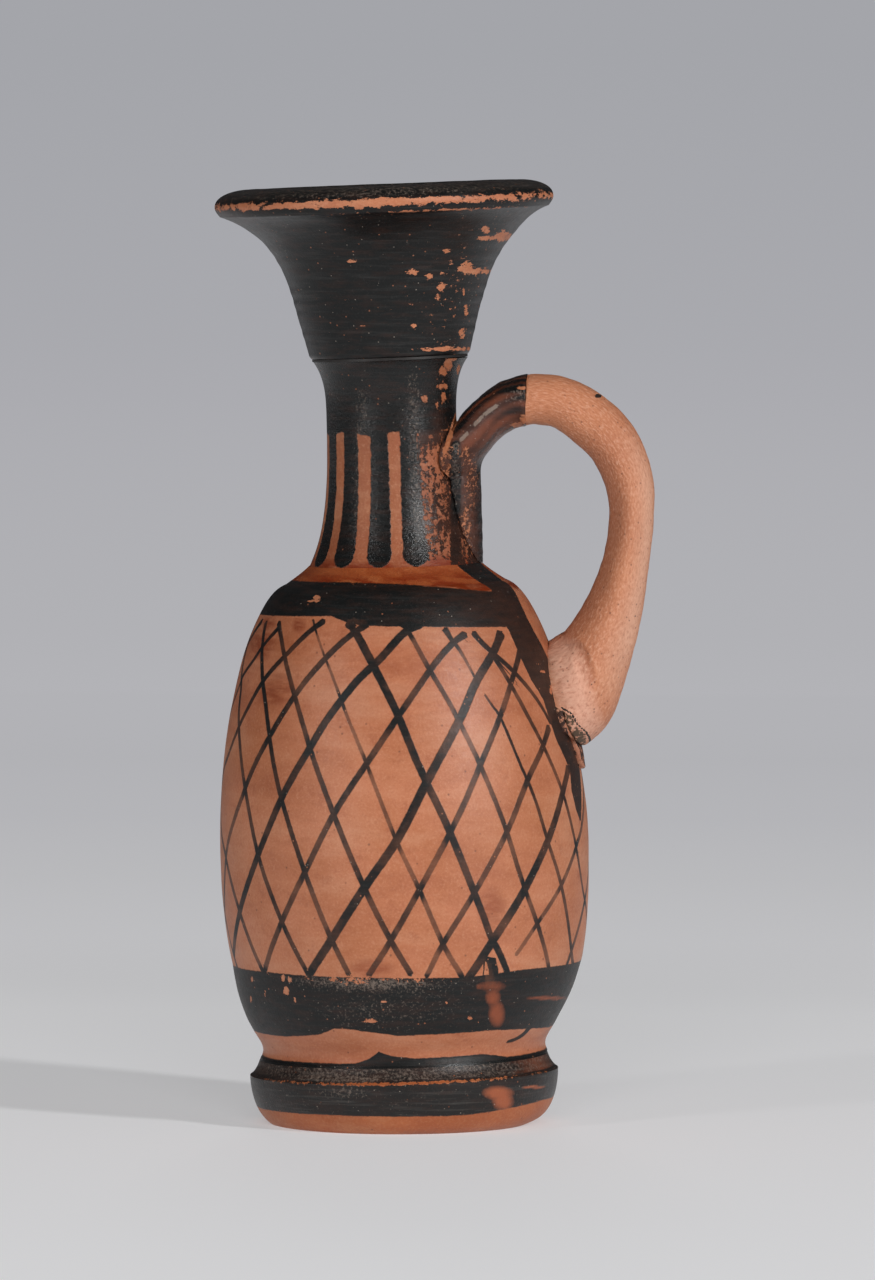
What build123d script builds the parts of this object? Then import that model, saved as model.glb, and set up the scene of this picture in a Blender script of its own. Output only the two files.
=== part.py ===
from build123d import *
from math import cos, radians, sin
import os

# Lekythos: a small thrown oil flask with a disc foot, a net-painted body, a narrow neck,
# a flaring mouth and one handle, part of which is a modern replacement.
# Millimetres and degrees. The origin is under the middle of the foot, +Z is up, and the
# handle is on the +X side. Sections are stacked along the throwing axis, which leans.

# The pot was dried crooked: its axis leans away from the handle, the mouth a little more
lean = 1.45
mouth_tilt = 0.75

# Luting slip between thrown sections
slip = 0.4

# Foot
foot_height = 10.6
foot_edge_height = 8.2
foot_edge_radius = 24.6
foot_rest_radius = 20.8
foot_top_step = 0.5
foot_round = 22.0
foot_scoop = (0.62, 0.42)

# Body, luted on a little off the foot's centre
body_shift = 0.85
waist_radius = 22.4
waist_flare = 31.5
belly_radius = 29.6
belly_height = 32.6
shoulder_radius = 21.0
shoulder_height = 72.4
shoulder_rise = 4.1
shoulder_slope = 22.0
body_wall = 3.5
body_floor = 5.0
floor_radius = 17.0
haunch = (0.385, 0.62)

# Neck
neck_height = 34.5
neck_base_radius = 14.6
neck_base_flare = 31.0
neck_radius = 10.4
neck_waist_height = 22.5
neck_top_radius = 12.4
neck_top_flare = 38.0
bore_radius = 7.2

# Collar of clay in the corner between shoulder and neck
collar_height = 1.5
collar_reach = 3.7

# Mouth
mouth_height = 27.4
ridge_step = 0.5
ridge_height = 0.9
lip_radius = 27.0
lip_height = 4.6
lip_overhang = 1.5
lip_crest_inset = 5.4
lip_bulge_share = 0.42
mouth_wall = 3.4
crest_slope = 15.0
mouth_flare = 14.0
lip_flare = 18.0

# Handle, an oval bar
handle_thickness = 7.2
handle_width = 9.0
handle_reach = 41.3
crown_reach = 22.0
crown_height = 28.0
corner_inset = 7.8
corner_drop = 5.2
corner_thickness = 8.4
elbow_share = 0.58
entry_drop = 7.5
entry_slope = 41.0
entry_sink = 1.0
stub_root_width = 12.5
stub_root_thickness = 7.8
stub_root_sink = 5.0
stub_taper_share = 0.3
tail_reach = 14.1
tail_depth = 4.2
tail_width = 10.5
tail_end_width = 7.6
stub_fillet = 0.8
stub_fillet_length = 2.2
adhesive_film = 0.3
root_drop = 12.2
root_standoff = 4.0
root_slope = 27.0
root_curl_angle = 18.0
root_thickness = 12.8
root_width = 15.0
root_length = 8.4
scar_thickness = 1.1
scar_tongue_drop = 10.6
scar_tongue_length = 9.0
scar_tongue_width = 6.4

# How the modern bar swells along its arch and flares down to its root: share of the way, share of the swell
arch_swell = ((0, 0), (0.25, 0.55), (0.52, 1), (0.78, 0.6))
root_flare = ((0, 0), (0.45, 0.2), (0.75, 0.66), (1, 1))

# Heights at which the sections sit, along the throwing axis
body_z = foot_height + slip
body_height = shoulder_height + shoulder_rise
neck_z = body_z + body_height
seat_z = neck_z + neck_height
mouth_z = seat_z + slip
root_z = body_z + shoulder_height - root_drop

up = Vector(0, 0, 1)
across = Vector(0, 1, 0)
cut_margin = 2.0


def at(radius, z):
    return Vector(radius, 0, z)


def heading(angle):
    # Direction in the handle's plane, in degrees from straight up towards +X
    return Vector(sin(radians(angle)), 0, cos(radians(angle)))


def between(start, end, share):
    return start + (end - start) * share


def beside(curve, distance, shares):
    # Points to the left of a curve, which is inwards for a wall drawn upwards
    points = []
    for share in shares:
        tangent = curve % share
        points.append(curve @ share + Vector(-tangent.Z, 0, tangent.X) * distance)
    return points


def radius_at(curve, z):
    # Radius of an upward wall at one height
    low = 0.0
    high = 1.0
    for step in range(40):
        middle = (low + high) / 2
        if (curve @ middle).Z < z:
            low = middle
        else:
            high = middle
    return (curve @ low).X


def largest(shape):
    return shape.solids().sort_by(SortBy.VOLUME)[-1]


def thrown(*edges):
    return revolve(make_face(Curve() + list(edges)), Axis.Z)


# Outlines of the outer walls

def lower_body_wall():
    base = at(waist_radius, body_z)
    belly = at(belly_radius, body_z + belly_height)
    return Spline(base, belly, tangents=[heading(waist_flare), up])


def upper_body_wall():
    belly = at(belly_radius, body_z + belly_height)
    shoulder = at(shoulder_radius, body_z + shoulder_height)
    fullness = at(between(belly.X, shoulder.X, haunch[0]), between(belly.Z, shoulder.Z, haunch[1]))
    seat = at(neck_base_radius, neck_z)
    return Spline(belly, fullness, shoulder, seat, tangents=[up, heading(shoulder_slope - 90)])


def neck_wall():
    base = at(neck_base_radius, neck_z)
    waist = at(neck_radius, neck_z + neck_waist_height)
    return Spline(base, waist, tangents=[heading(-neck_base_flare), up])


def neck_top_wall():
    waist = at(neck_radius, neck_z + neck_waist_height)
    top = at(neck_top_radius, seat_z)
    return Spline(waist, top, tangents=[up, heading(neck_top_flare)])


def mouth_wall_curve():
    ridge = at(neck_top_radius + ridge_step, mouth_z + ridge_height)
    under_lip = at(lip_radius - lip_overhang, mouth_z + mouth_height - lip_height)
    return Spline(ridge, under_lip, tangents=[heading(mouth_flare), heading(90 - lip_flare)])


# Thrown sections

def foot():
    rest = at(foot_rest_radius, 0)
    edge = at(foot_edge_radius, foot_edge_height)
    top = at(waist_radius + foot_top_step, foot_height)
    hollow = at(between(edge.X, top.X, foot_scoop[0]), between(edge.Z, top.Z, foot_scoop[1]))
    under = rest - heading(90 - foot_round) * cut_margin
    solid = thrown(
        Line(at(0, under.Z), under),
        Line(under, rest),
        Spline(rest, edge, tangents=[heading(90 - foot_round), up]),
        ThreePointArc(edge, hollow, top),
        Line(top, at(0, foot_height)),
        Line(at(0, foot_height), at(0, under.Z)),
    )
    return split(leaning * solid, bisect_by=Plane.XY, keep=Keep.TOP)


def foot_slip():
    return Pos(0, 0, foot_height + slip / 2) * Cylinder(waist_radius, slip)


def body_core():
    # The body's outer form with no chamber
    return thrown(
        Line(at(0, body_z), at(waist_radius, body_z)),
        lower_body_wall(),
        upper_body_wall(),
        Line(at(neck_base_radius, neck_z), at(0, neck_z)),
        Line(at(0, neck_z), at(0, body_z)),
    )


def body():
    floor_z = body_z + body_floor
    wall = beside(lower_body_wall(), body_wall, (0.3, 0.65, 1.0))
    wall += beside(upper_body_wall(), body_wall, (0.25, 0.5, 0.72, 0.86))
    floor_edge = at(floor_radius, floor_z)
    throat = at(bore_radius, neck_z - body_wall)
    return thrown(
        Line(at(0, body_z), at(waist_radius, body_z)),
        lower_body_wall(),
        upper_body_wall(),
        Line(at(neck_base_radius, neck_z), at(bore_radius, neck_z)),
        Line(at(bore_radius, neck_z), throat),
        Spline(throat, *reversed(wall), floor_edge),
        Line(floor_edge, at(0, floor_z)),
        Line(at(0, floor_z), at(0, body_z)),
    )


def neck_core():
    # The neck's outer form, run on past the tilted seat and cut there
    top = neck_top_wall() @ 1
    run_on = top + (neck_top_wall() % 1) * cut_margin
    solid = thrown(
        Line(at(0, neck_z), at(neck_base_radius, neck_z)),
        neck_wall(),
        neck_top_wall(),
        Line(top, run_on),
        Line(run_on, at(0, run_on.Z)),
        Line(at(0, run_on.Z), at(0, neck_z)),
    )
    seat = Plane(origin=at(0, seat_z), z_dir=heading(-mouth_tilt), x_dir=heading(90 - mouth_tilt))
    return split(solid, bisect_by=seat, keep=Keep.BOTTOM)


def bore():
    length = neck_height + 2 * cut_margin
    return Pos(0, 0, neck_z - cut_margin + length / 2) * Cylinder(bore_radius, length)


def neck():
    return neck_core() - bore()


def neck_collar():
    # A cone resting on the shoulder and against the neck
    foot_radius = neck_base_radius + collar_reach
    shoulder_z = neck_z - collar_height
    ring = thrown(
        Line(at(bore_radius, shoulder_z - collar_height), at(foot_radius, shoulder_z - collar_height)),
        Line(at(foot_radius, shoulder_z - collar_height), at(foot_radius, shoulder_z)),
        Line(at(foot_radius, shoulder_z), at(neck_base_radius, neck_z + collar_height)),
        Line(at(neck_base_radius, neck_z + collar_height), at(bore_radius, neck_z + collar_height)),
        Line(at(bore_radius, neck_z + collar_height), at(bore_radius, shoulder_z - collar_height)),
    )
    return ring - body_core() - neck_core() - bore()


def mouth_slip():
    ring = Cylinder(neck_top_radius, slip) - Cylinder(bore_radius, slip)
    return mouth_place * Pos(0, 0, seat_z + slip / 2) * ring


def mouth():
    wall = mouth_wall_curve()
    base = at(neck_top_radius, mouth_z)
    ridge = wall @ 0
    under_lip = wall @ 1
    bulge = at(lip_radius, under_lip.Z + lip_height * lip_bulge_share)
    crest = at(lip_radius - lip_crest_inset, mouth_z + mouth_height)
    throat = at(bore_radius, mouth_z)
    funnel = beside(wall, mouth_wall, (0.8, 0.5, 0.25))
    solid = thrown(
        Line(throat, base),
        Line(base, ridge),
        wall,
        Spline(under_lip, bulge, tangents=[wall % 1, up]),
        Spline(bulge, crest, tangents=[up, heading(-90)]),
        Spline(crest, *funnel, throat, tangents=[heading(-90 - crest_slope), heading(180)]),
    )
    return mouth_place * solid


# Handle

def oval(point, direction, width, thickness):
    return Plane(origin=point, x_dir=across, z_dir=direction) * Ellipse(width / 2, thickness / 2)


def crown():
    return at(crown_reach, neck_z + crown_height)


def stub_path():
    entry = at(neck_radius + entry_sink, crown().Z - entry_drop)
    return Spline(entry, crown(), tangents=[heading(90 - entry_slope), heading(90)])


def stub_bar():
    path = stub_path()
    sunk = path @ 0 - (path % 0) * stub_root_sink
    middle_width = between(handle_width, stub_root_width, stub_taper_share)
    middle_thickness = between(handle_thickness, stub_root_thickness, stub_taper_share)
    sections = [
        oval(sunk, path % 0, stub_root_width, stub_root_thickness),
        oval(path @ 0, path % 0, stub_root_width, stub_root_thickness),
        oval(path @ 0.5, path % 0.5, middle_width, middle_thickness),
        oval(path @ 1, path % 1, handle_width, handle_thickness),
    ]
    return loft(sections)


def stub_tail():
    # The bar's end, pressed flat against the neck and drawn down to the collar
    low = at(tail_reach - tail_depth, neck_z + slip)
    high = at(tail_reach - tail_depth, (stub_path() @ 0).Z)
    return loft([oval(low, up, tail_end_width, 2 * tail_depth), oval(high, up, tail_width, 2 * tail_depth)])


def handle_stub():
    return stub_bar() + stub_tail() - neck_core() - neck_collar()


def handle_stub_fillet():
    path = stub_path()
    start = path @ 0
    outer = start + (path % 0) * stub_fillet_length
    sunk = start - (path % 0) * stub_root_sink
    width = stub_root_width + 2 * stub_fillet
    thickness = stub_root_thickness + 2 * stub_fillet
    sleeve = loft([
        oval(sunk, path % 0, width, thickness),
        oval(start, path % 0, width, thickness),
        oval(outer, path % 0, handle_width, handle_thickness),
    ])
    return largest(sleeve - neck_core() - stub_bar() - stub_tail())


def break_adhesive():
    return extrude(oval(crown(), heading(90), handle_width, handle_thickness), adhesive_film)


def arch_path():
    start = crown() + heading(90) * adhesive_film
    corner = at(handle_reach - corner_inset, start.Z - corner_drop)
    elbow = at(handle_reach - handle_thickness / 2, between(root_z, start.Z, elbow_share))
    return Spline(start, corner, elbow, tangents=[heading(90), heading(180)])


def drop_path():
    root = at(radius_at(upper_body_wall(), root_z) + root_standoff, root_z)
    return Spline(arch_path() @ 1, root, tangents=[heading(180), heading(180 + root_slope)])


def restoration_bar():
    arch = arch_path()
    drop = drop_path()
    sections = []
    for share, swell in arch_swell:
        thickness = between(handle_thickness, corner_thickness, swell)
        sections.append(oval(arch @ share, arch % share, handle_width, thickness))
    for share, flare in root_flare:
        width = between(handle_width, root_width, flare)
        thickness = between(handle_thickness, root_thickness, flare)
        sections.append(oval(drop @ share, drop % share, width, thickness))
    root = drop @ 1
    end = root + heading(180 + root_slope + root_curl_angle / 2) * root_length
    sections.append(oval(end, heading(180 + root_slope + root_curl_angle), root_width, root_thickness))
    return loft(sections)


def scar_layer():
    # The body's outer form, thicker all round by the height of the old root
    wall = beside(lower_body_wall(), -scar_thickness, (0.0, 0.35, 0.7))
    wall += beside(upper_body_wall(), -scar_thickness, (0.1, 0.3, 0.5, 0.7, 0.9, 1.0))
    return thrown(
        Line(at(0, wall[0].Z), wall[0]),
        Spline(*wall),
        Line(wall[-1], at(0, wall[-1].Z)),
        Line(at(0, wall[-1].Z), at(0, wall[0].Z)),
    )


def scar_tongue():
    # What is left of the old root below the modern section
    centre = drop_path() @ 1 - up * scar_tongue_drop
    section = Plane(origin=at(belly_radius / 2, centre.Z), x_dir=across, z_dir=heading(90))
    return extrude(section * Ellipse(scar_tongue_width / 2, scar_tongue_length / 2), belly_radius)


def handle_root_scar():
    return (restoration_bar() + scar_tongue()) & (scar_layer() - body_core())


def handle_restoration():
    return restoration_bar() - scar_layer()


# Every section leans with the throwing axis, and the mouth tilts a little more on its seat
leaning = Rot(0, -lean, 0)
body_place = leaning * Pos(body_shift, 0, 0)
mouth_place = Pos(0, 0, seat_z) * Rot(0, -mouth_tilt, 0) * Pos(0, 0, -seat_z)

nodes = {
    "foot_slip": foot_slip(),
    "body": body(),
    "neck_collar": neck_collar(),
    "neck": neck(),
    "mouth_slip": mouth_slip(),
    "mouth": mouth(),
    "handle_stub": handle_stub(),
    "handle_stub_fillet": handle_stub_fillet(),
    "break_adhesive": break_adhesive(),
    "handle_root_scar": handle_root_scar(),
    "handle_restoration": handle_restoration(),
}

os.makedirs("parts", exist_ok=True)
export_step(foot(), "parts/foot.step")
for name, shape in nodes.items():
    export_step(body_place * shape, f"parts/{name}.step")
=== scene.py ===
import math
import bpy
import numpy as np
from mathutils import Matrix, Vector, geometry


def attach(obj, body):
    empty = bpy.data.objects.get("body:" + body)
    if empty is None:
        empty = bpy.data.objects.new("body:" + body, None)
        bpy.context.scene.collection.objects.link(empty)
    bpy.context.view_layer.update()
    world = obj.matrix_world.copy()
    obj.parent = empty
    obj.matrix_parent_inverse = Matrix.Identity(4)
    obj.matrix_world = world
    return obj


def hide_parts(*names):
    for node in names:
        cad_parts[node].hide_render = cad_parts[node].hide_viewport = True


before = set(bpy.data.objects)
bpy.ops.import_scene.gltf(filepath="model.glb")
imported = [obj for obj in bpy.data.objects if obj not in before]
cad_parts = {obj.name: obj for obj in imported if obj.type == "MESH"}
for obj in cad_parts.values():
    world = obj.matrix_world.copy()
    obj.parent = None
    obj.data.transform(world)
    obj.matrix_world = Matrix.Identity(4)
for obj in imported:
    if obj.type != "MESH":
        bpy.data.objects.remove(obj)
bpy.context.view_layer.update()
mm = 0.001
fullTurn = 2 * math.pi
weldGap = {"thrown": 0.004, "node": 0.001}
smoothAngle = math.radians(50)

# Sections are thrown upright on the Z axis, painted, then leant as the pot was dried crooked.
# Angles round the pot are in degrees from the front (-Y) towards the handle (+X), lengths in mm.
stance = {"lean": 1.45, "shift": 0.85, "mouthTilt": 0.75, "mouthSeat": 122.0}
leaning = Matrix.Rotation(math.radians(-stance["lean"]), 4, "Y")
potPlace = leaning @ Matrix.Translation((stance["shift"] * mm, 0, 0))
seatLift = Matrix.Translation((0, 0, stance["mouthSeat"] * mm))
mouthTurn = Matrix.Rotation(math.radians(-stance["mouthTilt"]), 4, "Y")
mouthPlace = potPlace @ seatLift @ mouthTurn @ seatLift.inverted()
inPlace = Matrix.Identity(4)

# Camera of the photograph: how far round towards the handle, how far off, and where it aims
view = {
    "azimuth": 6.0, "distance": 1680.0, "height": 165.0, "aimRight": 5.35, "aimHeight": 77.13,
    "lens": 296.5, "sensor": 36.0, "photoWidth": 875, "photoHeight": 1280, "seenTo": 88.0, "clipEnd": 30.0,
}
turn = math.radians(view["azimuth"])
viewRight = Vector((math.cos(turn), math.sin(turn), 0))
viewBack = Vector((math.sin(turn), -math.cos(turn), 0))
aimPoint = (viewRight * view["aimRight"] + Vector((0, 0, view["aimHeight"]))) * mm
eyeLift = Vector((0, 0, view["height"] - view["aimHeight"]))
eyePoint = aimPoint + (viewBack * view["distance"] + eyeLift) * mm
lookWay = (aimPoint - eyePoint).normalized()
lookRight = lookWay.cross(Vector((0, 0, 1))).normalized()
lookUp = lookRight.cross(lookWay)
focalPixels = view["lens"] / view["sensor"] * view["photoHeight"]
pixelsPerMm = focalPixels / view["distance"]


def pickOnly(piece):
    if bpy.context.object and bpy.context.object.mode != "OBJECT":
        bpy.ops.object.mode_set(mode="OBJECT")
    bpy.ops.object.select_all(action="DESELECT")
    piece.select_set(True)
    bpy.context.view_layer.objects.active = piece


def heading(angle):
    # direction in the outline's plane, in degrees from straight up, outwards
    return Vector((math.sin(math.radians(angle)), 0, math.cos(math.radians(angle))))


def drawOutline(start, runs):
    # named runs: (radius, height, rows) if straight, with its two headings too if curved
    outline = [Vector((start[0], 0, start[1])) * mm]
    for run in runs.values():
        here = outline[-1]
        there = Vector((run[0], 0, run[1])) * mm
        reach = (there - here).length / 3
        leave = heading(run[3]) * reach if len(run) > 3 else (there - here) / 3
        arrive = heading(run[4]) * reach if len(run) > 3 else (there - here) / 3
        curve = geometry.interpolate_bezier(here, here + leave, there - arrive, there, run[2] + 1)
        outline += curve[1:]
    return outline


def throwPiece(name, outline, columns):
    # draws the outline by extruding one point, spins an eighth of a turn and doubles that three times
    bpy.ops.object.select_all(action="DESELECT")
    bpy.ops.mesh.primitive_plane_add(size=mm)
    piece = bpy.context.object
    piece.name = name
    piece.data.name = name
    bpy.ops.object.mode_set(mode="EDIT")
    bpy.ops.mesh.merge(type="CENTER")
    bpy.ops.transform.translate(value=outline[0])
    for here, there in zip(outline, outline[1:]):
        bpy.ops.mesh.extrude_vertices_move(TRANSFORM_OT_translate={"value": there - here})
    bpy.ops.mesh.select_all(action="SELECT")
    bpy.ops.mesh.spin(steps=columns // 8, angle=fullTurn / 8, center=(0, 0, 0), axis=(0, 0, 1))
    for share in (8, 4, 2):
        bpy.ops.mesh.select_all(action="SELECT")
        bpy.ops.mesh.duplicate()
        bpy.ops.transform.rotate(value=fullTurn / share, orient_axis="Z", center_override=(0, 0, 0))
    bpy.ops.mesh.select_all(action="SELECT")
    bpy.ops.mesh.remove_doubles(threshold=weldGap["thrown"] * mm)
    bpy.ops.mesh.normals_make_consistent(inside=False)
    bpy.ops.object.mode_set(mode="OBJECT")
    print("threw", name)
    return piece


def applyAll(piece):
    pickOnly(piece)
    for modifier in list(piece.modifiers):
        bpy.ops.object.modifier_apply(modifier=modifier.name)


def uneven(piece, size, depth):
    # hand-made unevenness: lumps of a size in mm, pushed in and out by up to half a depth in mm
    lumps = bpy.data.textures.new(piece.name + "Lumps", "CLOUDS")
    lumps.noise_scale = size * mm
    push = piece.modifiers.new("uneven", "DISPLACE")
    push.texture = lumps
    push.texture_coords = "LOCAL"
    push.strength = depth * mm
    push.mid_level = 0.5
    applyAll(piece)


def spotsOf(piece):
    spots = np.empty(len(piece.data.vertices) * 3)
    piece.data.vertices.foreach_get("co", spots)
    return spots.reshape(-1, 3) / mm


def moveSpots(piece, spots):
    piece.data.vertices.foreach_set("co", (spots * mm).ravel())
    piece.data.update()


def roundPot(spots):
    # radius, angle from the front towards the handle, height
    radius = np.hypot(spots[:, 0], spots[:, 1])
    angle = np.degrees(np.arctan2(spots[:, 0], -spots[:, 1]))
    return radius, angle, spots[:, 2]


def angleFrom(angle, centre):
    return (angle - centre + 180) % 360 - 180


def hump(values, centre, width):
    return np.exp(-((values - centre) / width) ** 2)


def patchOn(angle, height, much, side=None, level=None):
    # a soft patch: how much of it, then its centre and reach round the piece, then up or along it
    if side:
        much = much * hump(angleFrom(angle, side[0]), 0, side[1])
    if level:
        much = much * hump(height, *level)
    return much


def ramp(values, start, end):
    return np.clip((values - start) / (end - start), 0, 1)


def facingCamera(angle):
    # what the photograph shows of a round piece
    return np.abs(angleFrom(angle, view["azimuth"])) < view["seenTo"]


def nearSide(spots, depth=1.0):
    # what the photograph shows of the handle, down to a depth in mm behind its middle plane
    return spots[:, 1] < depth


def standOnAxis(piece, place):
    piece.matrix_world = place
    pickOnly(piece)
    bpy.ops.object.transform_apply(location=True, rotation=True, scale=True)


def castFromPhoto(piece, place, x, y):
    # where a pixel of the photograph falls on a piece that is still upright on the axis, in mm
    ray = lookWay * focalPixels
    ray += lookRight * (x - view["photoWidth"] / 2) - lookUp * (y - view["photoHeight"] / 2)
    back = place.inverted()
    hit, spot = piece.ray_cast(back @ eyePoint, (back.to_3x3() @ ray).normalized())[:2]
    return np.array(spot) / mm if hit else None


def pixelsOf(spots, place):
    # the pixels of the photograph on which points of a piece fall, for a piece still to be placed
    turned = np.array(place)
    ray = spots * mm @ turned[:3, :3].T + turned[:3, 3] - np.array(eyePoint)
    depth = ray @ np.array(lookWay) / focalPixels
    across = view["photoWidth"] / 2 + ray @ np.array(lookRight) / depth
    down = view["photoHeight"] / 2 - ray @ np.array(lookUp) / depth
    return across, down


def marksOn(pixels, marks, fall=0.6):
    # 1 inside oval marks of (x, y, width, height) in pixels, one half on their edges, 0 well outside
    across, down = pixels
    shade = np.zeros(len(across))
    for x, y, width, height in marks.values():
        away = ((across - x) * 2 / width) ** 2 + ((down - y) * 2 / height) ** 2
        shade = np.maximum(shade, np.clip(0.5 + fall - fall * away, 0, 1))
    return shade


def lineOn(pixels, path, half, fall=0.6):
    # 1 on a line through pixels, one half at half its width, 0 well outside
    spots = np.stack(pixels, axis=1)
    nearest = np.full(len(spots), np.inf)
    for start, end in zip(path, path[1:]):
        span = np.subtract(end, start)
        run = np.clip((spots - start) @ span / (span @ span), 0, 1)
        nearest = np.minimum(nearest, np.linalg.norm(spots - start - run[:, None] * span, axis=1))
    return np.clip(0.5 + fall - fall * (nearest / half) ** 2, 0, 1)


def smoothPath(spots, steps=7):
    # a path through its points, with no corners
    spots = np.array(spots, dtype=float)
    ends = np.vstack([2 * spots[0] - spots[1], spots, 2 * spots[-1] - spots[-2]])
    path = []
    for before, here, there, after in zip(ends, ends[1:], ends[2:], ends[3:]):
        for share in np.arange(steps) / steps:
            bend = 2 * before - 5 * here + 4 * there - after
            twist = -before + 3 * here - 3 * there + after
            curve = 2 * here + (there - before) * share + bend * share ** 2 + twist * share ** 3
            path.append(curve / 2)
    path.append(spots[-1])
    return np.array(path)


# Paint is kept as fields on the points of a piece. slipEdge is the signed distance in mm to the edge of
# the slip, ink how much of it the brush held, and the others say where it is thin, red or worn away. The
# scuff field also carries painted sheen and highlights, and the red wash field also carries painted shade.
# For both families of the net, Aside is the way to the nearest stroke and Half is half its width there.
brush = {
    "reach": 2.0, "far": 9.0, "blob": 0.2, "blobRun": 0.05, "halfShare": 0.54, "endRound": 1.6,
    "inkRuns": (0, 0.2, 1), "strokeSpill": 1.1, "bandSpill": 0.9, "spillBlur": 0.6,
}
paintFields = {
    "slipEdge": 1.0, "ink": 0.0, "thin": 0.0, "misfire": 0.0, "worn": 0.0, "scuffAndSheen": 0.0, "redWashAndShade": 0.0,
}
netFields = {
    "rightAside": brush["far"], "rightHalf": -brush["far"],
    "leftAside": brush["far"], "leftHalf": -brush["far"],
}


def barePaint(count, *fields):
    return {name: np.full(count, value) for group in fields for name, value in group.items()}


def deepen(paint, field, values):
    # a mark that counts only where it is stronger than what is there
    paint[field] = np.maximum(paint[field], values)


def layBand(paint, field, ink=1.25):
    # slip wherever a field of signed distances is below 0
    paint["slipEdge"] = np.minimum(paint["slipEdge"], field)
    deepen(paint, "ink", ink * np.clip((brush["bandSpill"] - field) / brush["spillBlur"], 0, 1))


def slipAllOver(count):
    paint = barePaint(count, paintFields)
    layBand(paint, np.full(count, -1.0))
    return paint


def brushStroke(paint, spots, family, path, widths, ink):
    # signed distance to the nearest stroke of a family, half its width there, and its ink
    reach = brush["reach"]
    near = np.flatnonzero(np.all((spots > path.min(0) - reach) & (spots < path.max(0) + reach), axis=1))
    close = spots[near]
    best = np.full(len(close), reach)
    aside = np.full(len(close), brush["far"])
    share = np.zeros(len(close))
    past = np.zeros(len(close))
    last = len(path) - 2
    for index in range(last + 1):
        span = path[index + 1] - path[index]
        offset = close - path[index]
        run = offset @ span / (span @ span)
        part = np.clip(run, 0, 1)
        gap = offset - part[:, None] * span
        size = np.linalg.norm(gap, axis=1)
        nearer = size < best
        across = np.cross(span, path[index] * [1, 1, 0])
        best[nearer] = size[nearer]
        aside[nearer] = np.where(gap[nearer] @ across < 0, -size[nearer], size[nearer])
        share[nearer] = (index + part[nearer]) / (last + 1)
        beyond = np.maximum(-run if index == 0 else 0, run - 1 if index == last else 0)
        past[nearer] = np.broadcast_to(beyond, run.shape)[nearer].clip(0) * np.linalg.norm(span)
    blob = 1 + brush["blob"] * np.exp(-(share / brush["blobRun"]) ** 2)
    half = np.interp(share, [0, 1], widths) * brush["halfShare"] * blob - brush["endRound"] * past
    half = np.where(best < reach, half, -brush["far"])
    keep = np.abs(aside) - half < np.abs(paint[family + "Aside"][near]) - paint[family + "Half"][near]
    paint[family + "Aside"][near[keep]] = aside[keep]
    paint[family + "Half"][near[keep]] = half[keep]
    cover = np.interp(share, brush["inkRuns"], ink)
    cover *= np.clip((brush["strokeSpill"] - np.abs(aside) + half) / brush["spillBlur"], 0, 1)
    paint["ink"][near] = 1 - (1 - paint["ink"][near]) * (1 - cover)


def storePaint(piece, paint):
    for name, values in paint.items():
        field = piece.data.attributes.new(name, "FLOAT", "POINT")
        field.data.foreach_set("value", np.asarray(values, dtype=np.float32))


def linearColour(hexCode):
    parts = [int(hexCode[i:i + 2], 16) / 255 for i in (1, 3, 5)]
    return [p / 12.92 if p <= 0.04045 else ((p + 0.055) / 1.055) ** 2.4 for p in parts] + [1.0]


def perMm(size):
    # texture scale for a pattern of a given size in mm
    return 1 / (size * mm)


def addNode(tree, kind, inputs=None, **settings):
    node = tree.nodes.new("ShaderNode" + kind)
    for key, value in settings.items():
        setattr(node, key, value)
    for key, value in (inputs or {}).items():
        if isinstance(value, bpy.types.NodeSocket):
            tree.links.new(value, node.inputs[key])
        else:
            node.inputs[key].default_value = value
    return node


def layColours(tree, colour, look, layers):
    # tints over a colour: each grows with a value, from where it starts to where it is at its most
    for tint, value, start, end, most in layers:
        share = addNode(tree, "MapRange", {
            "Value": value, "From Min": start, "From Max": end, "To Max": most})
        colour = addNode(tree, "MixRGB", {
            "Fac": share.outputs[0], "Color1": colour, "Color2": linearColour(look[tint])}).outputs[0]
    return colour


def newMaterial(name):
    material = bpy.data.materials.new(name)
    material.use_nodes = True
    material.node_tree.nodes.clear()
    return material, material.node_tree


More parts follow.
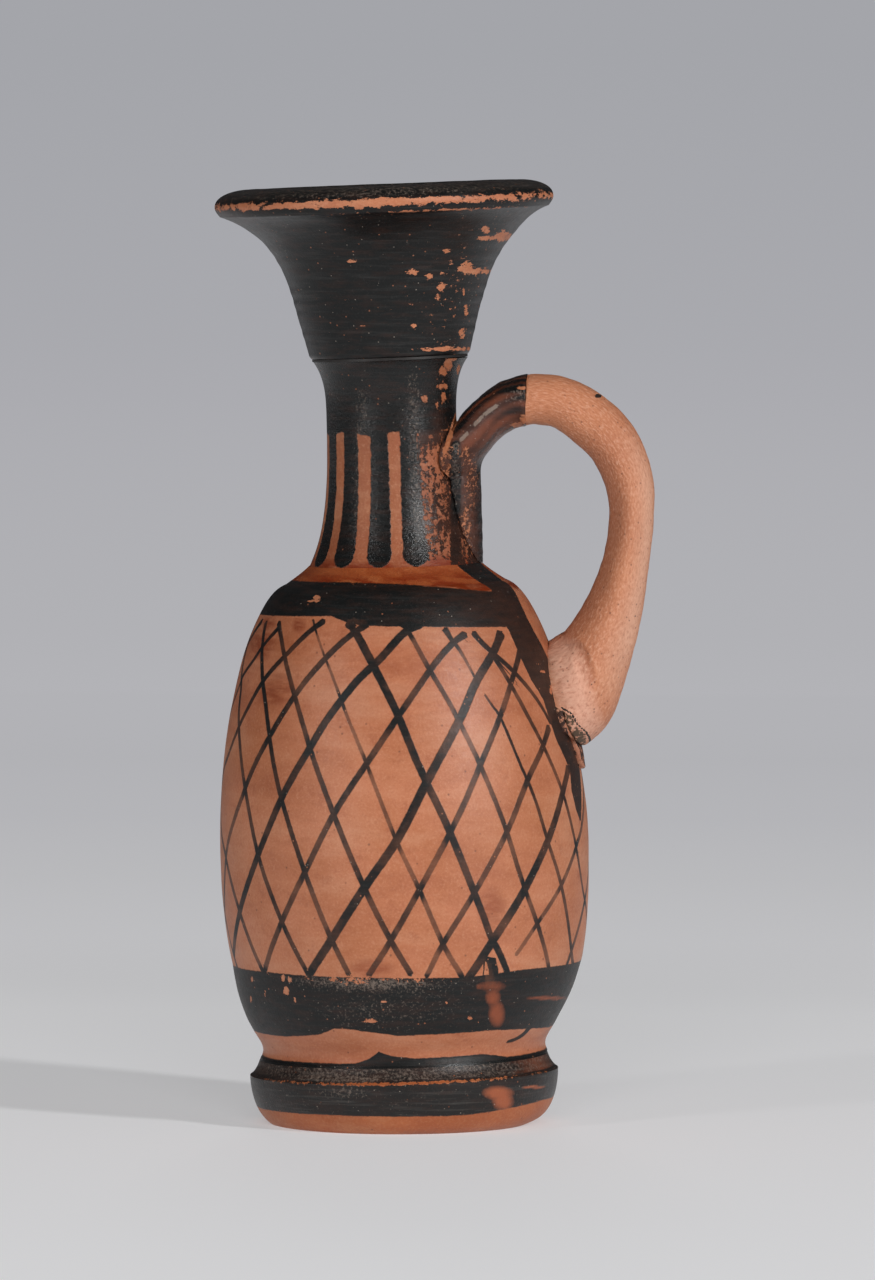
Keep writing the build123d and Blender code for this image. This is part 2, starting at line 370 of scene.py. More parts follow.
# Black-gloss pottery: iron-rich clay fired orange, satin and slightly gritty, with a thin slip that
# fired to a black satin gloss. The slip thins to brown, misfires to red, and flakes back to the clay.
pottery = {
    "clay": "#bc7654", "clayDeep": "#ac6742", "clayPale": "#cf9a7a", "clayRed": "#8a4224",
    "claySpeck": "#5a3022", "redWashAndShade": "#762804", "slip": "#131414", "slipGrey": "#3b3a39",
    "slipBrown": "#472a1f", "misfire": "#8f4a2e", "scuffAndSheen": "#8a7a6e", "dust": "#a89c90",
    "clayRoughness": 0.52, "slipRoughness": 0.32, "roughWander": 0.25, "clayGloss": 0.5, "slipGloss": 0.34,
    "ior": 1.5, "edgeWander": 0.35, "strokeWander": 0.2, "edgeBlur": 0.08, "loadShare": 0.7,
    "flakeShare": 2.0, "flakeEdge": (0.47, 0.53), "holeEdge": (0.04, 0.09), "holeCover": 0.4,
    "streakEdge": (0.3, 0.56), "streakLeast": 0.25, "thinShare": 0.9, "fireShare": 0.6, "dustLimit": 0.55,
    "turningGrey": 0.25, "grainDepth": 0.035, "slipRelief": 0.6, "turningRelief": 0.4,
    # size of the pattern in mm, detail, roughness, and how it is drawn out along X, Y and Z
    "noises": {
        "cloud": (13.0, 4.0, 0.6, (1, 1, 1)), "blotch": (2.8, 4.0, 0.65, (1, 1, 1)),
        "grit": (0.4, 3.0, 0.7, (1, 1, 1)), "brush": (1.4, 3.0, 0.6, (0.35, 0.35, 1.6)),
        "edge": (0.9, 4.0, 0.65, (1, 1, 1)), "flake": (1.1, 5.0, 0.75, (1, 1, 1)),
        "load": (6.0, 3.0, 0.55, (1, 1, 1)), "turning": (0.45, 4.0, 0.6, (0.05, 0.05, 1)),
        "wipe": (7.0, 5.0, 0.65, (0.4, 0.4, 1.2)),
    },
    # spacing in mm
    "dots": {"pit": 2.4, "pinhole": 1.9, "dustSpot": 1.1},
}


def firedPottery(name, ground=None, net=False):
    look = dict(pottery, **(ground or {}))
    material, tree = newMaterial(name)
    where = addNode(tree, "TexCoord").outputs["Object"]
    fields = dict(paintFields, **netFields) if net else paintFields
    paint = {field: addNode(tree, "Attribute", attribute_name=field).outputs["Fac"] for field in fields}
    noise = {}
    for part, (size, detail, roughness, stretch) in look["noises"].items():
        at = addNode(tree, "Mapping", {"Vector": where, "Scale": stretch}).outputs[0]
        noise[part] = addNode(tree, "TexNoise", {
            "Vector": at, "Scale": perMm(size), "Detail": detail, "Roughness": roughness}).outputs["Fac"]
    # the patterns that swing both ways about 0, and the paint that they make uneven
    swing = {}
    for part in ("edge", "load", "flake", "brush"):
        swing[part] = addNode(tree, "Math", {0: noise[part], 1: -0.5}, operation="ADD").outputs[0]
    unevenPaint = (
        ("slipEdge", "edge", "edgeWander"), ("ink", "load", "loadShare"), ("worn", "flake", "flakeShare"),
        ("thin", "brush", "thinShare"), ("misfire", "flake", "fireShare"))
    for field, part, share in unevenPaint:
        paint[field] = addNode(tree, "Math", {
            0: swing[part], 1: look[share], 2: paint[field]}, operation="MULTIPLY_ADD").outputs[0]
    dots = {}
    for part, spacing in look["dots"].items():
        dots[part] = addNode(tree, "TexVoronoi", {"Vector": where, "Scale": perMm(spacing)}).outputs

    # clay: cloudy firing, reddish blotches, fine grit, a few dark pits, red ochre where it was washed on,
    # whose tint also carries painted shade
    clay = layColours(tree, linearColour(look["clayDeep"]), look, [
        ("clay", noise["cloud"], 0.3, 0.7, 1.0), ("clayRed", noise["wipe"], 0.5, 0.78, 0.5),
        ("clayPale", noise["wipe"], 0.5, 0.25, 0.45), ("clayRed", noise["blotch"], 0.56, 0.78, 0.5),
        ("clayPale", noise["grit"], 0.5, 0.85, 0.5), ("clayRed", noise["grit"], 0.45, 0.25, 0.3),
        ("claySpeck", dots["pit"]["Distance"], 0.1, 0.05, 0.6),
    ])
    streak = addNode(tree, "MapRange", {
        "Value": noise["brush"], "From Min": look["streakEdge"][0], "From Max": look["streakEdge"][1],
        "To Min": look["streakLeast"]})
    washAndShade = addNode(tree, "Math", {0: paint["redWashAndShade"], 1: streak.outputs[0]}, operation="MULTIPLY")
    clay = addNode(tree, "MixRGB", {
        "Fac": washAndShade.outputs[0], "Color1": clay, "Color2": linearColour(look["redWashAndShade"])}).outputs[0]

    # where the slip lies: bands with a wandering edge, brush strokes with a steadier one
    edge = paint["slipEdge"]
    for family in ("right", "left") if net else ():
        away = addNode(tree, "Math", {0: paint[family + "Aside"]}, operation="ABSOLUTE")
        gap = addNode(tree, "Math", {0: away.outputs[0], 1: paint[family + "Half"]}, operation="SUBTRACT")
        gap = addNode(tree, "Math", {
            0: swing["edge"], 1: look["strokeWander"], 2: gap.outputs[0]}, operation="MULTIPLY_ADD")
        edge = addNode(tree, "Math", {0: edge, 1: gap.outputs[0]}, operation="MINIMUM").outputs[0]
    covered = addNode(tree, "MapRange", {
        "Value": edge, "From Min": -look["edgeBlur"], "From Max": look["edgeBlur"],
        "To Min": 1.0, "To Max": 0.0})
    load = addNode(tree, "Clamp", {"Value": paint["ink"]})
    kept = addNode(tree, "MapRange", {
        "Value": paint["worn"], "From Min": look["flakeEdge"][0], "From Max": look["flakeEdge"][1],
        "To Min": 1.0, "To Max": 0.0})
    hole = addNode(tree, "MapRange", {
        "Value": dots["pinhole"]["Distance"], "From Min": look["holeEdge"][0],
        "From Max": look["holeEdge"][1], "To Min": look["holeCover"]})
    slipShare = covered.outputs[0]
    for cut in (load, kept, hole):
        slipShare = addNode(tree, "Math", {0: slipShare, 1: cut.outputs[0]}, operation="MULTIPLY").outputs[0]

    # its colour: black, greyed by wear and turning and lightened by painted sheen and highlights, brown where
    # it is thin, red where it misfired
    scuffAndSheenMask = addNode(tree, "Math", {0: noise["grit"], 1: paint["scuffAndSheen"]}, operation="ADD")
    dusty = addNode(tree, "Math", {
        0: dots["dustSpot"]["Color"], 1: look["dustLimit"]}, operation="GREATER_THAN")
    dusty = addNode(tree, "Math", {0: dusty.outputs[0], 1: dots["dustSpot"]["Distance"]}, operation="DIVIDE")
    slip = layColours(tree, linearColour(look["slip"]), look, [
        ("slipGrey", noise["grit"], 0.55, 0.8, 0.4),
        ("slipGrey", noise["turning"], 0.52, 0.72, look["turningGrey"]),
        ("slipBrown", paint["thin"], 0.0, 1.0, 1.0), ("misfire", paint["misfire"], 0.2, 0.95, 0.88),
        ("scuffAndSheen", scuffAndSheenMask.outputs[0], 0.78, 1.05, 0.7), ("dust", dusty.outputs[0], 9.0, 17.0, 0.6),
    ])

    colour = addNode(tree, "MixRGB", {"Fac": slipShare, "Color1": clay, "Color2": slip})
    rough = addNode(tree, "MapRange", {
        "Value": slipShare, "To Min": look["clayRoughness"], "To Max": look["slipRoughness"]})
    rough = addNode(tree, "Math", {
        0: swing["edge"], 1: look["roughWander"], 2: rough.outputs[0]}, operation="MULTIPLY_ADD")
    gloss = addNode(tree, "MapRange", {
        "Value": slipShare, "To Min": look["clayGloss"], "To Max": look["slipGloss"]})
    relief = addNode(tree, "Math", {
        0: slipShare, 1: look["slipRelief"], 2: noise["grit"]}, operation="MULTIPLY_ADD")
    relief = addNode(tree, "Math", {
        0: noise["turning"], 1: look["turningRelief"], 2: relief.outputs[0]}, operation="MULTIPLY_ADD")
    grain = addNode(tree, "Bump", {
        "Height": relief.outputs[0], "Distance": look["grainDepth"] * mm, "Strength": 1.0})
    shader = addNode(tree, "BsdfPrincipled", {
        "Base Color": colour.outputs[0], "Roughness": rough.outputs[0], "IOR": look["ior"],
        "Normal": grain.outputs[0], "Specular IOR Level": gloss.outputs[0]})
    addNode(tree, "OutputMaterial", {"Surface": shader.outputs[0]})
    return material


def settle(piece, paint, form, place=inPlace):
    # stores the paint, makes the piece a little uneven and stands it where it belongs
    storePaint(piece, paint)
    uneven(piece, form["lumpSize"], form["lumpDepth"])
    standOnAxis(piece, place)


def finishPiece(piece, material, slot, *nodes):
    piece.data.materials.clear()
    piece.data.materials.append(material)
    pickOnly(piece)
    bpy.ops.object.shade_smooth_by_angle(angle=smoothAngle)
    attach(piece, "root")
    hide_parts(*nodes)
    print("finished", piece.name, len(piece.data.polygons), "faces")


# Body
body = {
    "columns": 448, "base": 11.0, "footRadius": 22.85, "skin": 0.5, "lumpSize": 16.0, "lumpDepth": 0.22,
    "wall": {
        "waist": (22.55, 12.2, 4, -20, 4), "flare": (24.05, 15.3, 8, 4, 29.5),
        "swell": (27.05, 22.3, 18, 29.5, 15.5), "belly": (29.4, 43.6, 50, 15.5, 0),
        "haunch": (26.45, 68.28, 56, 0, -13), "shoulder": (21.75, 81.9, 33, -13, -28),
        "edge": (19.35, 85.3, 10, -28, -45), "top": (14.6, 87.5, 12, -45, -68),
    },
    "hollow": {
        "bore": (7.2, 87.5, 2), "throat": (7.2, 84.0, 1), "side": (26.1, 43.6, 10, 100, 180),
        "floor": (17.0, 16.0, 8, 180, 235), "middle": (0, 16.0, 1),
    },
}
bodyWall = drawOutline((body["footRadius"], body["base"]), body["wall"])
bodyInside = drawOutline(body["wall"]["top"], body["hollow"])
bodyOutline = [Vector((0, 0, body["base"] * mm))] + bodyWall + bodyInside[1:]
bodyPiece = throwPiece("painted_body", bodyOutline, body["columns"])

# Brushed edges of the bands and of the strip beside the handle, as (angle, height)
bandEdges = {
    "shoulderLow": [(-180, 81.2), (-69, 81.9), (-22, 82.1), (-15, 81.2), (-8, 80.6), (8, 80.3), (55, 79.5),
                    (125, 79.8), (180, 81.2)],
    "collarLine": [(-180, 86.6), (-73, 87.2), (-22, 87.2), (9, 86.8), (35, 85.9), (56, 85.1), (124, 85.1),
                   (180, 86.6)],
    "lowerTop": [(-180, 25.6), (-74, 26.0), (-46, 25.9), (4, 25.3), (24, 25.0), (47, 25.6), (91, 25.4),
                 (180, 25.6)],
    "lowerBottom": [(-180, 15.6), (-45, 15.4), (-27, 16.0), (-20, 17.1), (-13, 17.0), (4, 15.9), (42, 16.0),
                    (81, 15.1), (180, 15.6)],
    "footLap": [(-180, 11.4), (-14, 11.4), (-8, 12.2), (-4, 13.3), (1, 12.6), (10, 12.1), (40, 12.2),
                (52, 11.4), (180, 11.4)],
    "stripFront": [(79, 48.0), (76, 49.9), (74, 53.1), (75, 56.3), (72, 58.8), (69, 61.2), (67, 64.5),
                   (66, 67.7), (61, 71.0), (58, 74.7), (56, 79.3), (55, 84.0), (58, 85.3), (52, 89.0)],
    "stripBack": [(80, 48.0), (83, 51.0), (88, 56.0), (88, 61.0), (86, 65.0), (82, 70.0), (78, 75.6),
                  (75, 78.3), (74, 80.7), (75, 83.0), (79, 85.5), (86, 89.0)],
}

# Strokes of the net, traced on the photograph in pixels from the top down. Those that pass out of sight
# go on with (angle, height). Widths in mm and ink are given from the head to the tail.
netStrokes = {
    "right0": {"path": [(278, 629), (264, 645), (253, 661), (243, 676), (237, 692)],
               "farEnd": [(-86, 63), (-104, 50), (-125, 37), (-143, 25.5)],
               "widths": (0.8, 0.8), "ink": (0.9, 0.9, 0.8)},
    "right1": {"path": [(324, 621), (308, 633), (286, 655), (264, 680), (249, 706), (241, 722), (229, 754),
                        (224, 770)],
               "farEnd": [(-90, 50.5), (-105, 41), (-120, 31), (-128, 25.5)],
               "widths": (0.95, 0.8), "ink": (1, 0.95, 0.8)},
    "right2": {"path": [(367, 624), (346, 639), (324, 660), (299, 690), (272, 733), (254, 767), (241, 800),
                        (227, 850)],
               "farEnd": [(-75, 36), (-88, 26)], "widths": (1.0, 1.0), "ink": (0.95, 0.9, 0.75)},
    "right3": {"path": [(420, 624), (403, 634), (379, 660), (356, 682), (327, 720), (309, 750), (283, 796),
                        (258, 855), (240, 912), (234, 955)],
               "widths": (1.2, 1.2), "ink": (1, 1, 0.95)},
    "right4": {"path": [(465, 634), (451, 645), (431, 669), (396, 720), (368, 762), (334, 814), (306, 870),
                        (283, 919), (263, 974)],
               "widths": (1.0, 0.95), "ink": (1, 0.92, 0.8)},
    "right5": {"path": [(501, 633), (494, 651), (476, 682), (461, 717), (428, 780), (397, 840), (365, 887),
                        (332, 939), (307, 976)],
               "widths": (1.35, 1.3), "ink": (1, 1, 0.95)},
    "right6": {"path": [(520, 650), (512, 680), (502, 711), (482, 761), (466, 800), (450, 833), (420, 889),
                        (390, 942), (367, 976)],
               "widths": (0.95, 0.9), "ink": (0.95, 0.82, 0.75)},
    "right7": {"path": [(549, 727), (542, 749), (527, 782), (507, 832), (475, 892), (443, 944), (425, 977)],
               "widths": (1.1, 0.8), "ink": (0.9, 0.85, 0.65)},
    "right8": {"path": [(568, 768), (562, 795), (548, 840), (525, 889), (494, 939), (466, 980)],
               "widths": (1.35, 1.4), "ink": (0.9, 0.95, 0.95)},
    "right9": {"farStart": [(140, 81), (118, 68)],
               "path": [(583, 812), (576, 847), (562, 884), (537, 924), (516, 955)],
               "widths": (1.1, 0.7), "ink": (0.8, 0.85, 0.55)},
    "right10": {"farStart": [(172, 81), (149, 69.5), (128, 58), (112, 50)],
                "path": [(586, 894), (572, 949), (564, 972)], "widths": (1.1, 0.9), "ink": (0.8, 0.8, 0.75)},
    "left0": {"farStart": [(-105, 81), (-92, 67)], "path": [(221, 817), (226, 857), (240, 912), (263, 974)],
              "widths": (1.0, 0.9), "ink": (0.85, 0.8, 0.75)},
    "left1": {"farStart": [(-84, 81)],
              "path": [(243, 665), (241, 687), (239, 707), (239, 730), (241, 755), (247, 800), (258, 855),
                       (282, 922), (308, 976)],
              "widths": (1.0, 0.85), "ink": (0.8, 0.9, 0.85)},
    "left2": {"path": [(266, 622), (263, 640), (263, 682), (267, 713), (274, 764), (282, 800), (304, 870),
                       (327, 929), (348, 975)],
              "widths": (0.9, 0.85), "ink": (0.85, 1, 0.8)},
    "left3": {"path": [(279, 622), (282, 642), (291, 682), (301, 717), (310, 747), (334, 815), (365, 889),
                       (390, 939), (410, 975)],
              "widths": (0.8, 0.9), "ink": (0.9, 0.85, 0.85)},
    "left4": {"path": [(313, 619), (324, 655), (332, 675), (346, 713), (366, 762), (394, 835), (419, 889),
                       (443, 944), (462, 979)],
              "widths": (0.32, 0.85), "ink": (0.6, 0.6, 0.7)},
    "left5": {"path": [(348, 623), (355, 631), (373, 665), (397, 713), (419, 766), (449, 830), (474, 892),
                       (483, 915), (491, 937), (498, 950), (504, 964), (508, 977)],
              "widths": (1.25, 1.0), "ink": (1, 1, 0.85)},
    "left6": {"path": [(401, 624), (408, 631), (427, 665), (451, 706), (465, 733), (482, 769), (507, 832),
                       (525, 889), (549, 976)],
              "widths": (0.72, 0.85), "ink": (0.85, 0.75, 0.8)},
    "left7Head": {"path": [(445, 629), (451, 639), (460, 651), (475, 678)],
                  "widths": (1.0, 0.4), "ink": (0.95, 0.9, 0.7)},
    "left7": {"path": [(484, 694), (493, 707), (500, 717), (519, 761), (534, 796), (548, 842), (561, 884),
                       (571, 949), (573, 970)],
              "widths": (0.35, 0.95), "ink": (0.8, 1, 0.8)},
    "left8": {"path": [(473, 633), (482, 643), (494, 654), (517, 675), (540, 704), (551, 724)],
              "widths": (1.0, 0.7), "ink": (1, 1, 0.95)},
    "rightBlot": {"path": [(491, 960), (492.5, 968), (493, 976), (493, 984)],
                  "widths": (1.5, 1.7), "ink": (1, 1, 1)},
    "left9": {"path": [(494, 657), (508, 680), (525, 711), (542, 743), (562, 791), (576, 847), (583, 889)],
              "farEnd": [(91, 32), (98, 25.5)], "widths": (0.8, 0.8), "ink": (0.85, 0.8, 0.8)},
}
# A run of slip below the lower band
drip = {
    "path": [(531, 1026), (524, 1034), (516, 1039), (507, 1042)], "widths": (1.3, 0.5), "ink": (1, 1, 0.9),
}
# The net on the far side, which the photograph doesn't show: the same two families, evenly spaced
farNet = {
    "right": {"tops": [292, 272, 252, 232, 212, 192], "sweep": -95.0},
    "left": {"tops": [-125, -145, -165, 175, 155, 135, 118], "sweep": 56.0},
    "bow": 0.85, "top": 81.0, "bottom": 25.3, "widths": (0.95, 0.85), "ink": (0.95, 0.85, 0.8), "steps": 48,
}
# Small marks on the body as (x, y, width, height) in pixels of the photograph
bandChips = {
    "leftCluster": (286, 991, 6, 9), "leftDash": (295, 1000, 2.5, 6), "farLeftDash": (251, 999, 2, 8),
    "highDash": (279, 970, 2.5, 7), "highFlake": (285.5, 969, 3, 8), "dash": (283, 978, 3, 6),
    "dashBeside": (289.5, 980, 4, 7), "edgeDash": (252, 979, 2, 7), "nearLeftDash": (265, 994, 2, 7),
    "middleDash": (384, 1002, 8, 3), "lowDash": (369, 1021, 15, 4), "rightSpecks": (470, 1018, 5, 4),
    "rightSpeck": (479, 1022, 3, 3), "speck": (446, 1003, 2, 2), "shoulderChip": (317, 598, 8, 5),
    "shoulderScratch": (314, 601, 12, 1.5), "stripScratch": (537, 663, 6, 2),
    "stripChip": (542, 671, 6, 2.5), "rootSpeck": (550, 675, 3, 3), "rootEdge": (551, 690, 2.5, 10),
}
bandMisfires = {
    "top": (492, 986, 26, 10), "middle": (493, 997, 14, 16), "bottom": (497, 1014, 15, 24),
    "corner": (479, 987, 6, 5), "streak": (547, 998, 40, 4),
}
rootSliver = [(567.5, 724), (573, 741), (578, 751), (581, 767)]
clayStains = {
    "shoulderStain": (299, 625, 12, 14), "cornerStain": (268, 624, 14, 12), "cloud": (275, 690, 34, 28),
    "sideCloud": (262, 644, 22, 26), "lowCloud": (492, 908, 26, 34), "lowSpot": (372, 968, 40, 16),
}
# How strong the body's wear, stains, painted shade and painted sheen are: single values, patches for patchOn,
# and ranges as a start and an end, in degrees for a side, in mm for heights, and in pixels for what is down
# the photograph
bodyWear = {
    "chipFall": 0.45, "sliverHalf": 2.2, "net": 0.1, "flaky": (0.5, (-8, 40), (-0.3, 1.0)),
    "edgeScuff": (0.3, (-10, 36), (-0.8, 1.3)), "bandScuffAndSheen": (0.25, (0, 45), (20, 5)),
    "misfireDown": (985, 1002), "misfire": (0.65, 1.0), "thin": 0.05, "stripThin": 0.3,
    "stripSide": (5, 60), "stripEnd": 130, "stripFrom": 48.0, "stain": 0.55, "upperStainAndShade": 0.24,
    "upperHeights": (58, 74), "lowerBlush": 0.18, "lowerHeights": (19, 15), "washBlur": 0.3,
}

wallHeights = [spot.z / mm for spot in bodyWall]
wallRadii = [spot.x / mm for spot in bodyWall]
# the belly stands a little to the handle's side, the bottom to the other
sway = {"heights": (11, 17, 26, 50, 66), "aside": (-0.5, -0.4, 0.35, 0.3, 0.0)}


def swayAt(height):
    return np.interp(height, sway["heights"], sway["aside"])


def wallRadius(height):
    return np.interp(height, wallHeights, wallRadii)


def wallSpot(angle, height):
    way = math.radians(angle)
    return np.array([wallRadius(height) * math.sin(way), -wallRadius(height) * math.cos(way), height])


def handleStrip(radius, angle, height):
    # signed distances to the strips on both sides of the handle, and to the bare clay between them
    edge = {name: np.interp(height, *zip(*[spot[::-1] for spot in bandEdges[name]]))
            for name in ("stripFront", "stripBack")}
    side = np.minimum(angle, 180 - angle)
    perDegree = np.radians(1) * radius
    beside = np.maximum(edge["stripFront"] - side, side - edge["stripBack"]) * perDegree
    return beside, (side - edge["stripBack"]) * perDegree


def netPath(stroke):
    traced = []
    for x, y in stroke["path"]:
        height = view["aimHeight"] + (view["photoHeight"] / 2 - y) / pixelsPerMm
        traced.append(castFromPhoto(bodyPiece, potPlace, x - swayAt(height) * pixelsPerMm, y))
    path = [wallSpot(*spot) for spot in stroke.get("farStart", [])]
    path += [spot for spot in traced if spot is not None]
    path += [wallSpot(*spot) for spot in stroke.get("farEnd", [])]
    path = smoothPath(path)
    path[:, :2] *= (wallRadius(path[:, 2]) / np.hypot(path[:, 0], path[:, 1]))[:, None]
    return path


spots = spotsOf(bodyPiece)
radius, angle, height = roundPot(spots)
inside = radius < wallRadius(height) - body["skin"]
across, down = pixelsOf(spots, potPlace)
pixels = (across + swayAt(height) * pixelsPerMm, down)
facing = facingCamera(angle) & ~inside
edges = {name: np.interp(angle, *zip(*edge)) for name, edge in bandEdges.items() if "strip" not in name}
paint = barePaint(len(spots), paintFields, netFields)
layBand(paint, np.maximum(edges["lowerBottom"] - height, height - edges["lowerTop"]))
layBand(paint, height - edges["footLap"])
besideHandle, underHandle = handleStrip(radius, angle, height)
shoulder = np.maximum(edges["shoulderLow"] - height, height - edges["collarLine"])
layBand(paint, np.maximum(shoulder, underHandle))
layBand(paint, np.maximum(besideHandle, bodyWear["stripFrom"] - height))
for name, stroke in netStrokes.items():
    family = "right" if name.startswith("right") else "left"
    brushStroke(paint, spots, family, netPath(stroke), stroke["widths"], stroke["ink"])
for family in ("right", "left"):
    for top in farNet[family]["tops"]:
        steps = np.linspace(0, 1, farNet["steps"])
        fall = farNet["top"] + (farNet["bottom"] - farNet["top"]) * steps
        swing = top + farNet[family]["sweep"] * steps ** farNet["bow"]
        path = np.array([wallSpot(*spot) for spot in zip(swing, fall)])
        brushStroke(paint, spots, family, path, farNet["widths"], farNet["ink"])
brushStroke(paint, spots, "right", netPath(drip), drip["widths"], drip["ink"])
aboveBand = height - edges["lowerTop"]
paint["worn"] = patchOn(angle, aboveBand, *bodyWear["flaky"])
deepen(paint, "worn", marksOn(pixels, bandChips, bodyWear["chipFall"]) * facing)
deepen(paint, "worn", lineOn(pixels, rootSliver, bodyWear["sliverHalf"]) * facing)
deepen(paint, "worn", bodyWear["net"] * (aboveBand > 0) * (height < edges["shoulderLow"]))
paint["scuffAndSheen"] = patchOn(angle, aboveBand, *bodyWear["edgeScuff"])
# scuffing and a painted sheen across the front of the lower band
paint["scuffAndSheen"] += patchOn(angle, height, *bodyWear["bandScuffAndSheen"])
fired = np.interp(pixels[1], bodyWear["misfireDown"], bodyWear["misfire"])
paint["misfire"] = marksOn(pixels, bandMisfires) * fired * facing
onStrip = (angle < bodyWear["stripEnd"]) * (height > bodyWear["stripFrom"])
paint["thin"] = bodyWear["thin"] + bodyWear["stripThin"] * ramp(angle, *bodyWear["stripSide"]) * onStrip
# the upper body is darker and redder, partly a stain and partly painted shade; it is also redder towards the
# bottom
stainAndShade = bodyWear["stain"] * marksOn(pixels, clayStains) * facing
stainAndShade += bodyWear["upperStainAndShade"] * ramp(height, *bodyWear["upperHeights"])
stainAndShade += bodyWear["lowerBlush"] * ramp(height, *bodyWear["lowerHeights"])
washAndShade = ramp(height, edges["collarLine"] - bodyWear["washBlur"], edges["collarLine"])
paint["redWashAndShade"] = np.maximum(stainAndShade, washAndShade)
for field in ("slipEdge", "rightHalf", "leftHalf"):
    paint[field][inside] = dict(paintFields, **netFields)[field]
spots[:, 0] += swayAt(height)
moveSpots(bodyPiece, spots)
print("painted the body")
settle(bodyPiece, paint, body, potPlace)
bodyGround = {"slipRoughness": 0.46, "clayRoughness": 0.46}
bodyClay = firedPottery("fired clay with slip net", bodyGround, net=True)
finishPiece(bodyPiece, bodyClay, "red_clay", "body")

# Foot
foot = {
    "columns": 400, "restRadius": 20.8, "restSlope": 68.0, "below": 2.0, "aside": 0.24, "lumpSize": 11.0,
    "lumpDepth": 0.2,
    "wall": {
        "edge": (24.6, 8.2, 26, 68, 0), "hollow": (23.5, 9.4, 6, -66, -32), "top": (23.0, 10.6, 6, -32, -20),
        "middle": (0, 10.6, 2),
    },
}
# Paint and wear of the foot: its hollow is redder, thinner and more rubbed than its side, and lightened by
# painted sheen where it faces up. The front left of its side has a painted highlight.
footMarks = {
    "paintLow": [(-180, 3.2), (-26, 3.3), (30, 2.8), (71, 3.8), (180, 3.2)],
    "misfires": {"blush": (498, 1093, 28, 13), "blushLow": (503, 1101, 19, 19), "streak": (533, 1087, 24, 3)},
    "hollowFrom": 8.6, "hollowMisfire": (0.42, (72, 22)), "thin": 0.05, "hollowThin": 0.12, "scuffAndSheen": 0.14,
    "hollowScuffAndSheen": 0.3, "hollowSheenHeights": (8.4, 8.8), "sidePaintedHighlight": (0.3, (-18, 17), (7, 1.7)), "edgeWear": 0.3,
    "frontWear": (0.42, (5, 42)), "wearHeights": (8.3, 0.36), "wearFrom": 24,
}
under = Vector((foot["restRadius"], 0, 0)) - heading(foot["restSlope"]) * foot["below"]
footRuns = {"under": (under.x, under.z, 2), "rest": (foot["restRadius"], 0, 4)}
footOutline = drawOutline((0, under.z), dict(footRuns, **foot["wall"]))
footPlace = leaning @ Matrix.Translation((foot["aside"] * mm, 0, 0))
footPiece = throwPiece("foot_disc", footOutline, foot["columns"])
spots = spotsOf(footPiece)
radius, angle, height = roundPot(spots)
inHollow = height > footMarks["hollowFrom"]
paint = barePaint(len(spots), paintFields)
layBand(paint, np.interp(angle, *zip(*footMarks["paintLow"])) - height)
paint["misfire"] = marksOn(pixelsOf(spots, footPlace), footMarks["misfires"]) * facingCamera(angle)
deepen(paint, "misfire", patchOn(angle, height, *footMarks["hollowMisfire"]) * inHollow)
paint["thin"] = footMarks["thin"] + footMarks["hollowThin"] * inHollow
# painted sheen with some scuffing in the hollow, and a painted highlight on the front left of the side
paint["scuffAndSheen"] = footMarks["hollowScuffAndSheen"] * ramp(height, *footMarks["hollowSheenHeights"])
paint["scuffAndSheen"] += patchOn(angle, height, *footMarks["sidePaintedHighlight"])
deepen(paint, "scuffAndSheen", footMarks["scuffAndSheen"])
paint["worn"] = footMarks["edgeWear"] + patchOn(angle, height, *footMarks["frontWear"])
paint["worn"] *= hump(height, *footMarks["wearHeights"]) * (radius > footMarks["wearFrom"])
settle(footPiece, paint, foot, footPlace)
pickOnly(footPiece)
bpy.ops.object.mode_set(mode="EDIT")
bpy.ops.mesh.select_all(action="SELECT")
bpy.ops.mesh.bisect(plane_co=(0, 0, 0), plane_no=(0, 0, 1), clear_inner=True, use_fill=True, threshold=1e-7)
bpy.ops.object.mode_set(mode="OBJECT")
footGround = {
    "clay": "#ac6036", "clayDeep": "#9a5029", "clayPale": "#c08a62", "misfire": "#a55a3a", "slip": "#1d1b1a",
    "slipGrey": "#484542", "slipRoughness": 0.38, "grainDepth": 0.06, "turningGrey": 0.6,
}
finishPiece(footPiece, firedPottery("black-glossed foot clay", footGround), "black_gloss", "foot")

# Luting slip between foot and body, smoothed flush and painted over
footTop = foot["wall"]["top"]
seamOutline = drawOutline((0, footTop[1]), {
    "under": (footTop[0], footTop[1], 2), "edge": (body["footRadius"], body["base"], 1),
    "middle": (0, body["base"], 2),
})
seamPiece = throwPiece("foot_seam", seamOutline, foot["columns"])
storePaint(seamPiece, slipAllOver(len(seamPiece.data.vertices)))
standOnAxis(seamPiece, footPlace)
finishPiece(seamPiece, firedPottery("painted luting slip"), "luting_slip", "foot_slip")

# Neck
neck = {
    "columns": 288, "lumpSize": 9.0, "lumpDepth": 0.16, "blackFrom": 110.4, "tongueEnd": 89.3,
    "tongues": (-141, -114, -87, -60, -33, -5, 21, 73, 107, 134, 161, 190), "tongueTop": 7.7,
    "tongueFoot": 9.0, "patchFrom": 29.0, "patchTo": 68.0,
    "wall": {
        "waist": (10.4, 110.0, 74, -31, 0), "top": (12.4, 122.0, 40, 0, 38), "bore": (7.2, 122.0, 2),
        "throat": (7.2, 87.5, 6), "base": (14.6, 87.5, 2),
    },
}
neckFlakes = {
    "slashTop": (452, 357, 8, 9), "slashMiddle": (448, 364, 8, 10), "slashEnd": (443, 371, 8, 9),
    "edge": (458, 369, 4, 9), "crumbs": (443, 386, 11, 5), "crumbsLow": (443, 397, 5, 10),
    "tail": (437, 406, 3, 7), "pair": (425, 399, 7, 7),
}
